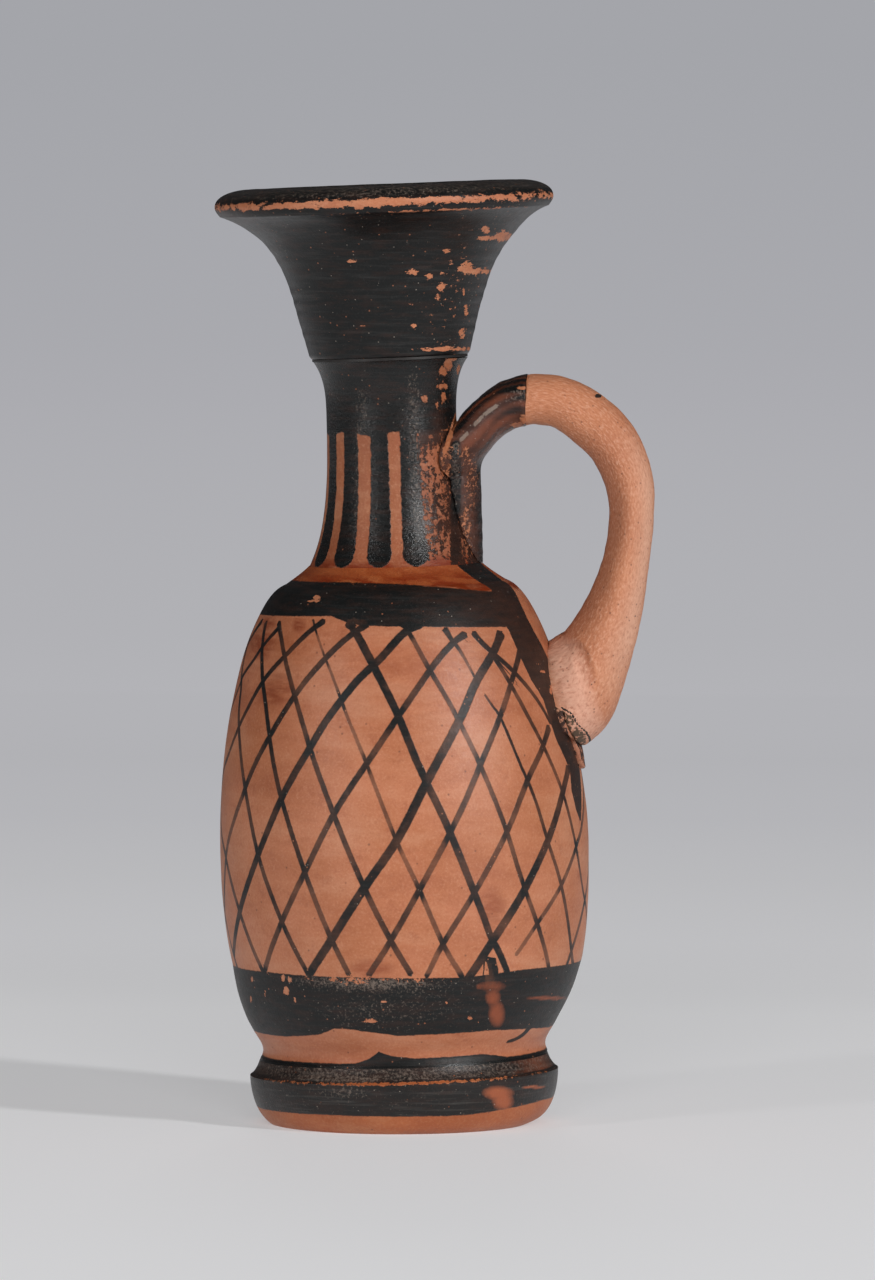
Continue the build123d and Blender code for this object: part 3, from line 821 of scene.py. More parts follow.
# Lines on the neck in pixels: painted highlights where the lamps reflect in the slip, the rubbed ridge of the
# clay that seals the stub, and, where the stub's tail spreads, an old tongue of slip along its edge with
# crumbs beside it
neckPaintedSheen = {
    "right": [(412, 378), (414, 430), (416, 500), (420, 540)], "left": [(362, 396), (361, 465), (356, 525)],
}
filletRidge = [(457, 415), (453, 427), (445, 452)]
oldTongue = [(455.5, 446), (455.5, 562)]
tailCrumbs = [(464, 452), (472, 470), (470, 500), (465, 520), (466, 560)]
tongueFade = {"down": (470, 495, 530), "left": (1.0, 0.75, 0.25), "half": 5.0}
# How strong the neck's wear, stains and painted highlights are, and where
neckWear = {
    "edgeWave": 0.35, "edgeWaves": 7, "patchBlur": 3, "patchTopBlur": 0.5, "patchLeast": 0.3,
    "patchAbove": 0.8, "patchSlip": -0.4, "speckleHeights": (90, 97, 103, 106, 110),
    "speckle": (0.57, 0.43, 0.53, 0.64, 0.3), "speckleLess": 0.12, "lessSide": (50, 66),
    "upper": (0.16, (60, 22)), "besideTail": (0.4, (73, 7)), "besideHeights": (103, 98), "flakeFall": 0.36,
    "thin": 0.04, "patchThin": 0.5, "upperThin": (0.35, (52, 9), (112, 2.5)), "patchMisfire": 0.22,
    "tailAcross": 450.5, "tailDown": 443, "tail": 0.1, "tailCrumbs": 0.32, "crumbHalf": 6, "ridgeHalf": 2.3,
    "tailThin": 0.55, "wash": 0.85, "washHeights": (91.5, 89.5), "blush": 0.15, "blushHeights": (96, 91),
    "patchBlush": 0.2, "paintedSheen": {"right": 0.27, "left": 0.25}, "paintedSheenHalf": 8, "tongueScuff": 0.32,
}


def tongueOn(pixels):
    shade = lineOn(pixels, oldTongue, tongueFade["half"])
    return shade * np.interp(pixels[1], tongueFade["down"], tongueFade["left"])


neckPiece = throwPiece("neck_tube", drawOutline(neck["wall"]["base"], neck["wall"]), neck["columns"])
spots = spotsOf(neckPiece)
radius, angle, height = roundPot(spots)
pixels = pixelsOf(spots, potPlace)
facing = facingCamera(angle)
paint = barePaint(len(spots), paintFields)
wave = neckWear["edgeWave"] * np.sin(np.radians(angle * neckWear["edgeWaves"]))
layBand(paint, neck["blackFrom"] + wave - height)
spread = np.interp(height, [neck["tongueEnd"], neck["blackFrom"]], [neck["tongueFoot"], neck["tongueTop"]])
halfWidth = np.radians(spread) * radius
for tongue in neck["tongues"]:
    aside = np.radians(angleFrom(angle, tongue)) * radius
    below = np.maximum(0, neck["tongueEnd"] + halfWidth - height)
    layBand(paint, np.hypot(aside, below) - halfWidth)
# beside the handle the slip has gone to a speckle of brown on bare clay
patch = ramp(angle, neck["patchFrom"], neck["patchFrom"] + neckWear["patchBlur"])
patch *= ramp(angle, neck["patchTo"] + neckWear["patchBlur"], neck["patchTo"])
patchTop = neckWear["patchTopBlur"]
patch *= ramp(height, neck["blackFrom"] + patchTop, neck["blackFrom"] - patchTop)
inPatch = (patch > neckWear["patchLeast"]) & (height > neck["tongueEnd"] + neckWear["patchAbove"])
layBand(paint, np.where(inPatch, neckWear["patchSlip"], 1.0))
speckle = np.interp(height, neckWear["speckleHeights"], neckWear["speckle"])
speckle -= neckWear["speckleLess"] * ramp(angle, *neckWear["lessSide"])
upper = patchOn(angle, height, *neckWear["upper"]) * (height > neck["blackFrom"])
besideTail = patchOn(angle, height, *neckWear["besideTail"])
paint["worn"] = np.maximum(patch * speckle, upper)
deepen(paint, "worn", besideTail * ramp(height, *neckWear["besideHeights"]))
deepen(paint, "worn", marksOn(pixels, neckFlakes, neckWear["flakeFall"]) * facing)
paint["thin"] = neckWear["thin"] + neckWear["patchThin"] * patch
paint["thin"] += patchOn(angle, height, *neckWear["upperThin"])
tail = facing & (pixels[0] > neckWear["tailAcross"]) & (pixels[1] > neckWear["tailDown"])
tail &= height > neck["tongueEnd"]
tongueShade = tongueOn(pixels)
layBand(paint, np.where(tail, -1.0, 1.0))
crumbs = neckWear["tail"] + neckWear["tailCrumbs"] * lineOn(pixels, tailCrumbs, neckWear["crumbHalf"])
paint["worn"] = np.where(tail, crumbs, paint["worn"])
deepen(paint, "worn", lineOn(pixels, filletRidge, neckWear["ridgeHalf"]) * facing)
paint["thin"] = np.where(tail, np.maximum(neckWear["tailThin"] - tongueShade, 0), paint["thin"])
paint["misfire"] = np.where(tail, 0.0, neckWear["patchMisfire"] * patch)
paint["redWashAndShade"] = neckWear["wash"] * ramp(height, *neckWear["washHeights"])
paint["redWashAndShade"] += neckWear["blush"] * ramp(height, *neckWear["blushHeights"])
paint["redWashAndShade"] += neckWear["patchBlush"] * patch
# two painted highlights down the neck, where the lamps reflect in the slip
for side, line in neckPaintedSheen.items():
    paint["scuffAndSheen"] += neckWear["paintedSheen"][side] * lineOn(pixels, line, neckWear["paintedSheenHalf"]) * facing
paint["scuffAndSheen"] += neckWear["tongueScuff"] * tongueShade * tail
settle(neckPiece, paint, neck, potPlace)
neckGround = {
    "edgeWander": 0.75, "clay": "#a5613d", "clayDeep": "#8c4f31", "slipRoughness": 0.27, "grainDepth": 0.08,
    "flakeShare": 2.4, "noises": dict(pottery["noises"], flake=(0.9, 5.0, 0.75, (1, 1, 1))),
}
finishPiece(neckPiece, firedPottery("black-glossed neck clay", neckGround), "black_gloss", "neck")

# Mouth
mouth = {
    "columns": 424, "turningSpacing": 1.7, "turningBeat": 1.37, "turningDepth": 0.018,
    "turningFrom": (124, 126), "turningTo": (145, 143), "bendHeights": (129, 137, 141.5, 145),
    "bend": (0.0, 0.35, 0.55, 0.0), "lumpSize": 12.0, "lumpDepth": 0.2,
    "wall": {
        "base": (12.4, 122.4, 2), "ridge": (12.9, 123.3, 4, 45, 0), "side": (16.05, 134.6, 34, 14, 19.5),
        "arris": (26.2, 145.55, 42, 19.5, 72), "lip": (27.0, 147.1, 10, 38, 0),
        "crest": (21.6, 149.8, 18, 0, -90), "inside": (13.4, 137.4, 22, -112, -155),
        "bore": (7.2, 122.4, 12, -155, 180),
    },
}
mouthFlakes = {
    "lipSpot": (486, 230, 8, 7), "lipDash": (486, 238, 15, 5), "lipEdge": (503, 236, 17, 9),
    "spot": (447, 251, 8, 5), "crumb": (451, 263, 6, 3), "patch": (467, 268, 16, 13),
    "patchTail": (479, 271, 22, 6), "dash": (412, 272, 17, 4), "dashCrumb": (429, 276, 8, 3),
    "dashSpot": (442, 273, 5, 4), "chainTop": (441, 287, 7, 7), "chainEnd": (438, 297, 5, 6),
    "sideCrumb": (464, 292, 3, 8), "sideSpot": (466, 310, 5, 9), "low": (462, 333, 5, 11),
    "ridge": (447, 349, 50, 4), "leftDash": (352, 261, 12, 2.5), "leftCrumb": (363, 326, 7, 3),
    "middleCrumb": (414, 326, 5, 4),
}
# How strong the mouth's wear and the painted sheen on its crest are, and where. What is wider than outerRadii
# is the outside.
mouthWear = {
    "outerHeights": (123, 134, 144, 146, 149), "outerRadii": (11, 13.5, 19, 24.5, 24.2), "flakeFall": 0.34,
    "lip": 0.58, "lipFront": (0.3, (0, 45)), "lipMiddle": 147.15, "lipReach": 0.72, "lipBlunt": 2.4,
    "lipFrom": 25.5, "arris": (0.62, (30, 40), (145.55, 0.22)), "arrisFrom": 25, "side": (0.16, (50, 24)),
    "sideHeights": (146, 143), "scuffAndSheen": 0.03, "frontScuff": (0.04, (10, 40)), "crestPaintedSheen": 0.235,
    "crestHeights": (147.6, 148.4), "thin": 0.02, "leftThin": (0.25, (-70, 25), (146, 2)),
}
mouthPiece = throwPiece("flared_mouth", drawOutline(mouth["wall"]["bore"], mouth["wall"]), mouth["columns"])
spots = spotsOf(mouthPiece)
radius, angle, height = roundPot(spots)
wave = fullTurn * height / mouth["turningSpacing"]
wave = np.sin(wave) + np.sin(wave / mouth["turningBeat"])
turned = mouth["turningDepth"] * wave * ramp(height, *mouth["turningFrom"])
turned *= ramp(height, *mouth["turningTo"])
spots[:, :2] *= (1 + turned / np.maximum(radius, 1))[:, None]
spots[:, 0] += np.interp(height, mouth["bendHeights"], mouth["bend"])
moveSpots(mouthPiece, spots)
outer = radius > np.interp(height, mouthWear["outerHeights"], mouthWear["outerRadii"])
flaked = marksOn(pixelsOf(spots, mouthPlace), mouthFlakes, mouthWear["flakeFall"])
lipWear = mouthWear["lip"] + patchOn(angle, height, *mouthWear["lipFront"])
lipAway = np.abs((height - mouthWear["lipMiddle"]) / mouthWear["lipReach"])
lipWear *= np.exp(-lipAway ** mouthWear["lipBlunt"]) * (radius > mouthWear["lipFrom"])
arrisWear = patchOn(angle, height, *mouthWear["arris"]) * (radius > mouthWear["arrisFrom"])
sideWear = patchOn(angle, height, *mouthWear["side"]) * ramp(height, *mouthWear["sideHeights"])
paint = slipAllOver(len(spots))
for worn in (lipWear, arrisWear, sideWear * outer, flaked * (facingCamera(angle) & outer)):
    deepen(paint, "worn", worn)
paint["scuffAndSheen"] = mouthWear["scuffAndSheen"] + patchOn(angle, height, *mouthWear["frontScuff"])
# painted sheen along the crest of the lip
paint["scuffAndSheen"] += mouthWear["crestPaintedSheen"] * ramp(height, *mouthWear["crestHeights"])
paint["thin"] = mouthWear["thin"] + patchOn(angle, height, *mouthWear["leftThin"])
settle(mouthPiece, paint, mouth, mouthPlace)
mouthGround = {
    "turningGrey": 0.4, "flakeShare": 2.6, "slipGloss": 0.27,
    "noises": dict(pottery["noises"], flake=(0.9, 5.0, 0.75, (0.55, 0.55, 1.2))),
}
finishPiece(mouthPiece, firedPottery("black-glossed mouth clay", mouthGround), "black_gloss", "mouth")

# Collar of luting clay in the corner under the neck, left bare and washed red
collar = {
    "columns": 304, "wash": 0.45, "washLow": 0.55, "washHeights": (88.6, 87.4), "rubbedAndLit": 0.6,
    "rubbedEdge": (0.15, 0.4), "thin": 0.1,
    "wall": {
        "top": (13.75, 89.3, 16, -52, -46), "back": (13.0, 88.1, 2), "under": (14.0, 86.25, 2),
        "reach": (19.2, 85.25, 3),
    },
}
collarOutline = drawOutline(collar["wall"]["reach"], collar["wall"])
collarPiece = throwPiece("neck_fillet", collarOutline, collar["columns"])
radius, angle, height = roundPot(spotsOf(collarPiece))
paint = barePaint(len(radius), paintFields)
besideHandle, underHandle = handleStrip(radius, angle, height)
layBand(paint, np.maximum(height - np.interp(angle, *zip(*bandEdges["collarLine"])), underHandle))
layBand(paint, besideHandle)
paint["redWashAndShade"] = collar["wash"] + collar["washLow"] * ramp(height, *collar["washHeights"])
# the wash has rubbed off in long blotches, as two waves round the pot that beat
bearing = np.radians(angle)
blotch = np.sin(bearing * 9 + 2 * np.sin(bearing * 4)) * np.sin(height * 3 + bearing * 6)
paint["redWashAndShade"] *= 1.0 - collar["rubbedAndLit"] * ramp(blotch, *collar["rubbedEdge"])
paint["thin"] += collar["thin"]
storePaint(collarPiece, paint)
standOnAxis(collarPiece, potPlace)
collarGround = {
    "clay": "#a8582c", "clayDeep": "#9a4c22", "clayPale": "#b87a50", "redWashAndShade": "#7c2a06", "grainDepth": 0.14,
}
finishPiece(collarPiece, firedPottery("red-washed luting clay", collarGround), "luting_slip", "neck_collar")

# Handle: the old stub, the clay that seals it, the glued break, the modern section and the old root


def reworkNode(node, name, voxel, rounds):
    # a copy of the CAD solid, welded, remeshed finely and smoothed so that it can be roughened
    piece = bpy.data.objects.new(name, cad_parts[node].data.copy())
    piece.data.name = name
    bpy.context.scene.collection.objects.link(piece)
    pickOnly(piece)
    bpy.ops.object.mode_set(mode="EDIT")
    bpy.ops.mesh.select_all(action="SELECT")
    bpy.ops.mesh.remove_doubles(threshold=weldGap["node"] * mm)
    bpy.ops.object.mode_set(mode="OBJECT")
    remesh = piece.modifiers.new("remesh", "REMESH")
    remesh.mode = "VOXEL"
    remesh.voxel_size = voxel * mm
    smooth = piece.modifiers.new("smooth", "SMOOTH")
    smooth.factor = 0.5
    smooth.iterations = rounds
    applyAll(piece)
    return piece


def swell(piece, thickness):
    # grows or shrinks a piece evenly, by a thickness in mm
    push = piece.modifiers.new("swell", "DISPLACE")
    push.strength = thickness * mm
    push.mid_level = 0.0
    applyAll(piece)


# The bar's middle line in the handle's plane, from the neck over the crown and down to the root
barLine = {
    "stub": [(9.3, 105.4), (11.4, 108.0), (13.68, 110.49), (15.89, 113.05), (18.69, 114.91), (22.3, 115.5)],
    "arch": [(28.89, 114.11), (33.96, 109.7), (36.89, 103.62), (37.7, 96.89)],
    "drop": [(37.16, 90.12), (35.48, 83.54), (32.85, 77.27), (29.77, 71.2), (26.5, 65.5)],
    "breakAt": 22.1, "breakAbove": 110, "offside": 9, "barRadius": 4.5, "batch": 20000,
}


def followBar(spots):
    # for every point: distance along the bar from the break, angle round it from its outer side, way out
    line = smoothPath([(x, 0, z) for part in ("stub", "arch", "drop") for x, z in barLine[part]])
    line = np.array([potPlace @ Vector(spot * mm) for spot in line]) / mm
    run = np.concatenate([[0], np.cumsum(np.linalg.norm(np.diff(line, axis=0), axis=1))])
    miss = np.abs(line[:, 0] - barLine["breakAt"])
    miss += barLine["offside"] * (line[:, 2] < barLine["breakAbove"])
    breakRun = run[np.argmin(miss)]
    nearest = np.concatenate([
        np.linalg.norm(part[:, None, ::2] - line[None, :, ::2], axis=2).argmin(axis=1)
        for part in np.array_split(spots, max(1, len(spots) // barLine["batch"]))])
    way = np.gradient(line, axis=0)[nearest]
    way /= np.linalg.norm(way, axis=1)[:, None]
    offset = spots - line[nearest]
    outwards = offset[:, 2] * way[:, 0] - offset[:, 0] * way[:, 2]
    wayOut = offset / np.linalg.norm(offset, axis=1)[:, None]
    along = run[nearest] + np.sum(offset * way, axis=1) - breakRun
    return along, np.degrees(np.arctan2(spots[:, 1], outwards)), wayOut


# How the bar differs from an even round: fuller or thinner under the arch and along its back, in mm at
# pixels across, and closed over the glue at the break. Ranges round it are in degrees from its outer side.
barFit = {
    "underAcross": (498, 506, 514, 522, 531, 540, 575, 590), "under": (0, 0.5, 1.0, 1.45, 0.9, 0.5, 0.4, 0),
    "underAround": (95, 150), "backAcross": (460, 476, 490, 500), "back": (-0.6, -0.6, -0.3, 0),
    "backAround": (80, 30), "breakSwell": 0.15, "swellRun": (3.5, 0.1), "stubShift": 0.2,
    "fillerShift": -0.85, "shiftRun": (2.2, 1.0), "heights": (104, 107),
}


def fitBar(spots, along, around, wayOut, shift):
    across = pixelsOf(spots, inPlace)[0]
    fuller = np.interp(across, barFit["underAcross"], barFit["under"])
    fuller *= ramp(np.abs(around), *barFit["underAround"])
    back = np.interp(across, barFit["backAcross"], barFit["back"])
    fuller += back * ramp(np.abs(around), *barFit["backAround"])
    fuller += barFit["breakSwell"] * ramp(np.abs(along), *barFit["swellRun"])
    fitted = spots + wayOut * (fuller * ramp(spots[:, 2], *barFit["heights"]))[:, None]
    atBreak = ramp(np.abs(along), *barFit["shiftRun"]) * (spots[:, 2] > barFit["heights"][0])
    fitted[:, 0] += shift * atBreak
    return fitted


# Tinted gypsum filler, rasped to shape: dead matt, with fine marks that run along the bar
filler = {
    "colour": "#c47f5a", "deep": "#a05c3e", "pale": "#e0b096", "pink": "#d6a189", "pit": "#7a4632",
    "chip": "#261d18", "scrap": "#54402f", "roughness": 0.62, "fibreSize": 0.32, "fibreDraw": 0.42,
    "cloudSize": 9.0, "crumbSize": 0.9, "crumbShare": 1.2, "pitSpacing": 1.3, "grainDepth": 0.22,
}
restoredFields = ("along", "around", "chip", "bared", "pinkAndLitFace", "rubbedAndLit", "paintedShade")


def tintedFiller():
    material, tree = newMaterial("tinted gypsum filler")
    paint = {
        field: addNode(tree, "Attribute", attribute_name=field).outputs["Fac"] for field in restoredFields}
    where = addNode(tree, "TexCoord").outputs["Object"]
    drawn = addNode(tree, "Math", {0: paint["along"], 1: filler["fibreDraw"]}, operation="MULTIPLY")
    fibreAt = addNode(tree, "CombineXYZ", {"X": drawn.outputs[0], "Y": paint["around"]})
    fibre = addNode(tree, "TexNoise", {
        "Vector": fibreAt.outputs[0], "Scale": 1 / filler["fibreSize"], "Detail": 5.0,
        "Roughness": 0.65}).outputs["Fac"]
    cloud = addNode(tree, "TexNoise", {"Vector": where, "Scale": perMm(filler["cloudSize"]), "Detail": 3.0})
    crumb = addNode(tree, "TexNoise", {"Vector": where, "Scale": perMm(filler["crumbSize"]), "Detail": 4.0})
    speck = addNode(tree, "TexVoronoi", {"Vector": where, "Scale": perMm(filler["pitSpacing"])})
    # painted shade darkens the inner side and the valley, painted light makes the lit side paler and the lit
    # flat face pinker
    layers = [
        ("deep", cloud.outputs["Fac"], 0.4, 0.7, 0.4), ("deep", paint["paintedShade"], 0.0, 1.0, 0.6),
        ("pale", paint["rubbedAndLit"], 0.0, 1.0, 0.6), ("pink", paint["pinkAndLitFace"], 0.0, 1.0, 0.85),
        ("pale", fibre, 0.5, 0.7, 0.6), ("deep", fibre, 0.48, 0.3, 0.7),
        ("pit", speck.outputs["Distance"], 0.16, 0.08, 0.7),
    ]
    for tint, field in (("scrap", "bared"), ("chip", "chip")):
        broken = addNode(tree, "Math", {
            0: crumb.outputs["Fac"], 1: filler["crumbShare"], 2: paint[field]}, operation="MULTIPLY_ADD")
        layers.append((tint, broken.outputs[0], 1.1, 1.2, 1.0))
    colour = layColours(tree, linearColour(filler["colour"]), filler, layers)
    grain = addNode(tree, "Bump", {"Height": fibre, "Distance": filler["grainDepth"] * mm, "Strength": 1.0})
    shader = addNode(tree, "BsdfPrincipled", {
        "Base Color": colour, "Roughness": filler["roughness"], "Normal": grain.outputs[0]})
    addNode(tree, "OutputMaterial", {"Surface": shader.outputs[0]})
    return material


# Arris, facet and other forms of the modern section, and the painted light and shade on it. Runs are in mm
# along the bar from the break, sides in degrees round it from its outer side, and what is down is in pixels
# of the photograph.
restored = {
    "voxel": 0.3, "rounds": 10, "arris": (0.35, (-84, 15)), "facet": (0.45, (-130, 26)),
    "arrisFrom": (12, 24), "arrisTo": (54, 44), "rootSwell": 0.22, "rootRun": (46, 53), "valleyDepth": 0.5,
    "valleyHalf": 7, "bow": (0.45, None, (22, 8)), "sag": (0.3, None, (8, 7)),
    "rootSag": (0.4, None, (50, 9)), "smear": 1.8, "smearGap": (3.4, 1.7), "smearFrom": 40,
    "smearDown": (713, 704), "crackHalf": 1.0, "bared": 0.62, "baredBelow": 2, "baredTo": 586,
    "baredFrom": 50, "faceHalf": 17, "rubbedAndLit": (1, (-38, 32)), "litSideFrom": (12, 22), "litSideTo": (56, 44),
    "paintedShade": (1, (-160, 45)), "paintedShadeFrom": (4, 14), "paintedShadeTo": (58, 48), "valleyShade": 0.9,
    "lumpSize": 6.0, "lumpDepth": 0.35, "raspSize": 1.6, "raspDepth": 0.12,
}
fillerChips = {"crownChip": (598, 396, 7, 4), "sideSpeck": (635, 616, 2, 2), "rootPit": (592, 684, 2, 2)}
rootCrack = [(562, 708), (572, 714), (577, 724), (586, 732), (590, 739), (588, 746)]
rootFace = [(563, 656), (570, 680), (577, 703), (584, 724)]
# where the flat face by the root meets the bar, carved a little and darkened with painted shade
rootValley = [(564, 644), (574, 646), (581, 654), (585, 667), (588, 679)]
restoration = reworkNode("handle_restoration", "restored_handle", restored["voxel"], restored["rounds"])
spots = spotsOf(restoration)
along, around, wayOut = followBar(spots)
valley = lineOn(pixelsOf(spots, inPlace), rootValley, restored["valleyHalf"]) * nearSide(spots)
arris = patchOn(around, along, *restored["arris"]) - patchOn(around, along, *restored["facet"])
arris *= ramp(along, *restored["arrisFrom"]) * ramp(along, *restored["arrisTo"])
arris += restored["rootSwell"] * ramp(along, *restored["rootRun"])
arris -= restored["valleyDepth"] * valley
spots = fitBar(spots, along, around, wayOut, barFit["fillerShift"]) + wayOut * arris[:, None]
spots[:, 0] += patchOn(around, along, *restored["bow"])
spots[:, 2] -= patchOn(around, along, *restored["sag"])
spots[:, 2] -= patchOn(around, along, *restored["rootSag"])
# above the crack the filler was smeared over the old root, up to the wall
upright = np.array(potPlace.inverted())
radius, angle, height = roundPot(spots @ upright[:3, :3].T + upright[:3, 3] / mm)
smeared = ramp(radius - wallRadius(height), *restored["smearGap"]) * (along > restored["smearFrom"])
smeared *= restored["smear"] * ramp(pixelsOf(spots, inPlace)[1], *restored["smearDown"])
spots[:, :2] *= (1 - smeared / radius)[:, None]
moveSpots(restoration, spots)
pixels = pixelsOf(spots, inPlace)
chipped = np.maximum(marksOn(pixels, fillerChips), lineOn(pixels, rootCrack, restored["crackHalf"]))
# below the crack, up to where it turns down, the filler is lost
lost = pixels[1] > np.interp(pixels[0], *zip(*rootCrack[:5])) + restored["baredBelow"]
lost &= (pixels[0] < restored["baredTo"]) & (along > restored["baredFrom"])
# painted light on the outer side that faces the lamps, painted shade on the inner side and in the valley by
# the root; the flat face by the root is pinker, partly with painted light
rubbedAndLit = patchOn(around, along, *restored["rubbedAndLit"])
paintedShade = patchOn(around, along, *restored["paintedShade"])
paintedShade *= ramp(along, *restored["paintedShadeFrom"]) * ramp(along, *restored["paintedShadeTo"])
valleyPaintedShade = restored["valleyShade"] * lineOn(pixels, rootValley, restored["valleyHalf"])
storePaint(restoration, {
    "along": along, "around": np.radians(around) * barLine["barRadius"], "chip": chipped * nearSide(spots),
    "bared": restored["bared"] * lost * nearSide(spots),
    "pinkAndLitFace": lineOn(pixels, rootFace, restored["faceHalf"]) * nearSide(spots),
    "rubbedAndLit": rubbedAndLit * ramp(along, *restored["litSideFrom"]) * ramp(along, *restored["litSideTo"]),
    "paintedShade": np.maximum(paintedShade, valleyPaintedShade * nearSide(spots))})
uneven(restoration, restored["lumpSize"], restored["lumpDepth"])
uneven(restoration, restored["raspSize"], restored["raspDepth"])
finishPiece(restoration, tintedFiller(), "tinted_filler", "handle_restoration")

# The stub keeps its slip: black along its back, brown and streaky on its sides, red-brown down its tail
oldStub = {
    "voxel": 0.26, "rounds": 8, "ridge": (0.25, (-80, 18)), "ridgeFrom": (106, 108), "wipes": 140,
    "wipeX": 12.0, "wipeZ": 105.5, "wipeReach": 4.0, "wipeRadii": (10.8, 12.2), "wipeLeast": 0.05,
    "lumpSize": 1.6, "lumpDepth": 0.2,
}
# Marks and lines on the stub in pixels, and the painted glints and sheen along it where the lamps reflect
stubChips = {
    "breakCorner": (526, 419, 12, 10), "underChip": (517, 425, 12, 5), "upperChip": (522, 388, 12, 3),
}
rootCrumbs = [(449, 450), (446, 462), (444, 476)]
stubPaintedGlints = ([(461, 440), (467, 434)], [(475, 424), (482, 417)], [(485, 414), (496, 406)])
stubPaintedSheen = [(462, 439), (474, 426), (484, 416), (498, 406)]
# How strong the stub's wear, stains and painted highlights are, and where
stubWear = {
    "front": 0.5, "barFrom": (105, 109), "backAround": (90, 60), "nearBreak": (1, (-84, 26), (-2.8, 3.4)),
    "tailAcross": (472, 481), "thin": 0.46, "barThin": 0.3, "streakThin": 0.5, "black": 0.8,
    "tailThin": 0.4, "misfire": (0.2, (-95, 34)), "redLine": (0.35, (-56, 9)), "redStreaks": 0.3,
    "worn": 0.1, "tailCrumbs": 0.32, "crumbHalf": 7, "chipFall": 0.42, "rootCrumbs": 0.46, "rootHalf": 8,
    "ridgeHalf": 2.3, "scuffAndSheen": 0.32, "paintedSheen": 0.14, "paintedSheenHalf": 4, "paintedGlint": 0.7, "paintedGlintHalf": 1.7,
}


def paintStub(spots, along, around):
    pixels = pixelsOf(spots, inPlace)
    front = nearSide(spots, stubWear["front"])
    onBar = ramp(spots[:, 2], *stubWear["barFrom"])
    blackBack = ramp(np.abs(around), *stubWear["backAround"]) * onBar
    nearBreak = patchOn(around, along, *stubWear["nearBreak"])
    tailEdge = ramp(pixels[0], *stubWear["tailAcross"]) * (1 - onBar)
    tongue = tongueOn(pixels) * front
    # the brush ran along the bar and left it streaky: two waves that cross
    turn = np.radians(around)
    streaks = np.sin(11 * turn + 0.35 * along) * np.sin(5 * turn - 0.22 * along + 1) * onBar
    paint = slipAllOver(len(spots))
    thin = stubWear["thin"] + stubWear["barThin"] * onBar + stubWear["streakThin"] * streaks
    thin -= stubWear["black"] * np.maximum(blackBack, nearBreak) + tongue
    thin -= stubWear["tailThin"] * tailEdge
    paint["thin"] = np.maximum(thin, 0)
    misfire = patchOn(around, along, *stubWear["misfire"]) * (1 - blackBack)
    misfire += patchOn(around, along, *stubWear["redLine"])
    paint["misfire"] = misfire * onBar + stubWear["redStreaks"] * np.maximum(streaks, 0)
    crumbs = stubWear["tailCrumbs"] * lineOn(pixels, tailCrumbs, stubWear["crumbHalf"])
    paint["worn"] = stubWear["worn"] + crumbs * front
    deepen(paint, "worn", marksOn(pixels, stubChips, stubWear["chipFall"]) * front)
    crumbs = stubWear["rootCrumbs"] * lineOn(pixels, rootCrumbs, stubWear["rootHalf"])
    deepen(paint, "worn", crumbs * front)
    deepen(paint, "worn", lineOn(pixels, filletRidge, stubWear["ridgeHalf"]) * front)
    paint["scuffAndSheen"] = stubWear["scuffAndSheen"] * np.maximum(tongue, nearBreak)
    # painted sheen and glints along the stub, where the lamps reflect
    paint["scuffAndSheen"] += stubWear["paintedSheen"] * lineOn(pixels, stubPaintedSheen, stubWear["paintedSheenHalf"]) * front
    for paintedGlint in stubPaintedGlints:
        paint["scuffAndSheen"] += stubWear["paintedGlint"] * lineOn(pixels, paintedGlint, stubWear["paintedGlintHalf"]) * front
    return paint


stub = reworkNode("handle_stub", "old_handle_stub", oldStub["voxel"], oldStub["rounds"])
spots = spotsOf(stub)
# the clay of the bar was wiped down into its tail
away = np.hypot(spots[:, 0] - oldStub["wipeX"], spots[:, 2] - oldStub["wipeZ"])
wiped = hump(away, 0, oldStub["wipeReach"]) * ramp(np.hypot(spots[:, 0], spots[:, 1]), *oldStub["wipeRadii"])
group = stub.vertex_groups.new(name="wiped")
for index in np.flatnonzero(wiped > oldStub["wipeLeast"]):
    group.add([int(index)], float(wiped[index]), "REPLACE")
smooth = stub.modifiers.new("wipe", "SMOOTH")
smooth.vertex_group = group.name
smooth.iterations = oldStub["wipes"]
applyAll(stub)
spots = spotsOf(stub)
along, around, wayOut = followBar(spots)
onBar = ramp(spots[:, 2], *oldStub["ridgeFrom"])
ridge = patchOn(around, along, *oldStub["ridge"]) * onBar
spots = fitBar(spots, along, around, wayOut, barFit["stubShift"]) + wayOut * ridge[:, None]
moveSpots(stub, spots)
settle(stub, paintStub(spots, along, around), oldStub)
stubGround = {
    "slipRoughness": 0.24, "slipBrown": "#63392a", "misfire": "#7c3f26", "clay": "#a2633f",
    "grainDepth": 0.14, "noises": dict(pottery["noises"], flake=(0.8, 5.0, 0.75, (1, 1, 1))),
}
finishPiece(stub, firedPottery("brown-glossed handle clay", stubGround), "brown_gloss", "handle_stub")

# The fillet is dark like the stub, but for a rubbed ridge along its edge against the neck
oldFillet = {"voxel": 0.2, "rounds": 14, "shrink": -0.4, "sink": 1.3, "sinkAcross": (460, 472)}
fillet = reworkNode("handle_stub_fillet", "stub_fillet", oldFillet["voxel"], oldFillet["rounds"])
swell(fillet, oldFillet["shrink"])
spots = spotsOf(fillet)
along, around, wayOut = followBar(spots)
sunk = oldFillet["sink"] * ramp(pixelsOf(spots, inPlace)[0], *oldFillet["sinkAcross"])
moveSpots(fillet, spots - wayOut * sunk[:, None])
storePaint(fillet, paintStub(spots, along, around))
finishPiece(fillet, firedPottery("worn fillet clay", stubGround), "brown_gloss", "handle_stub_fillet")

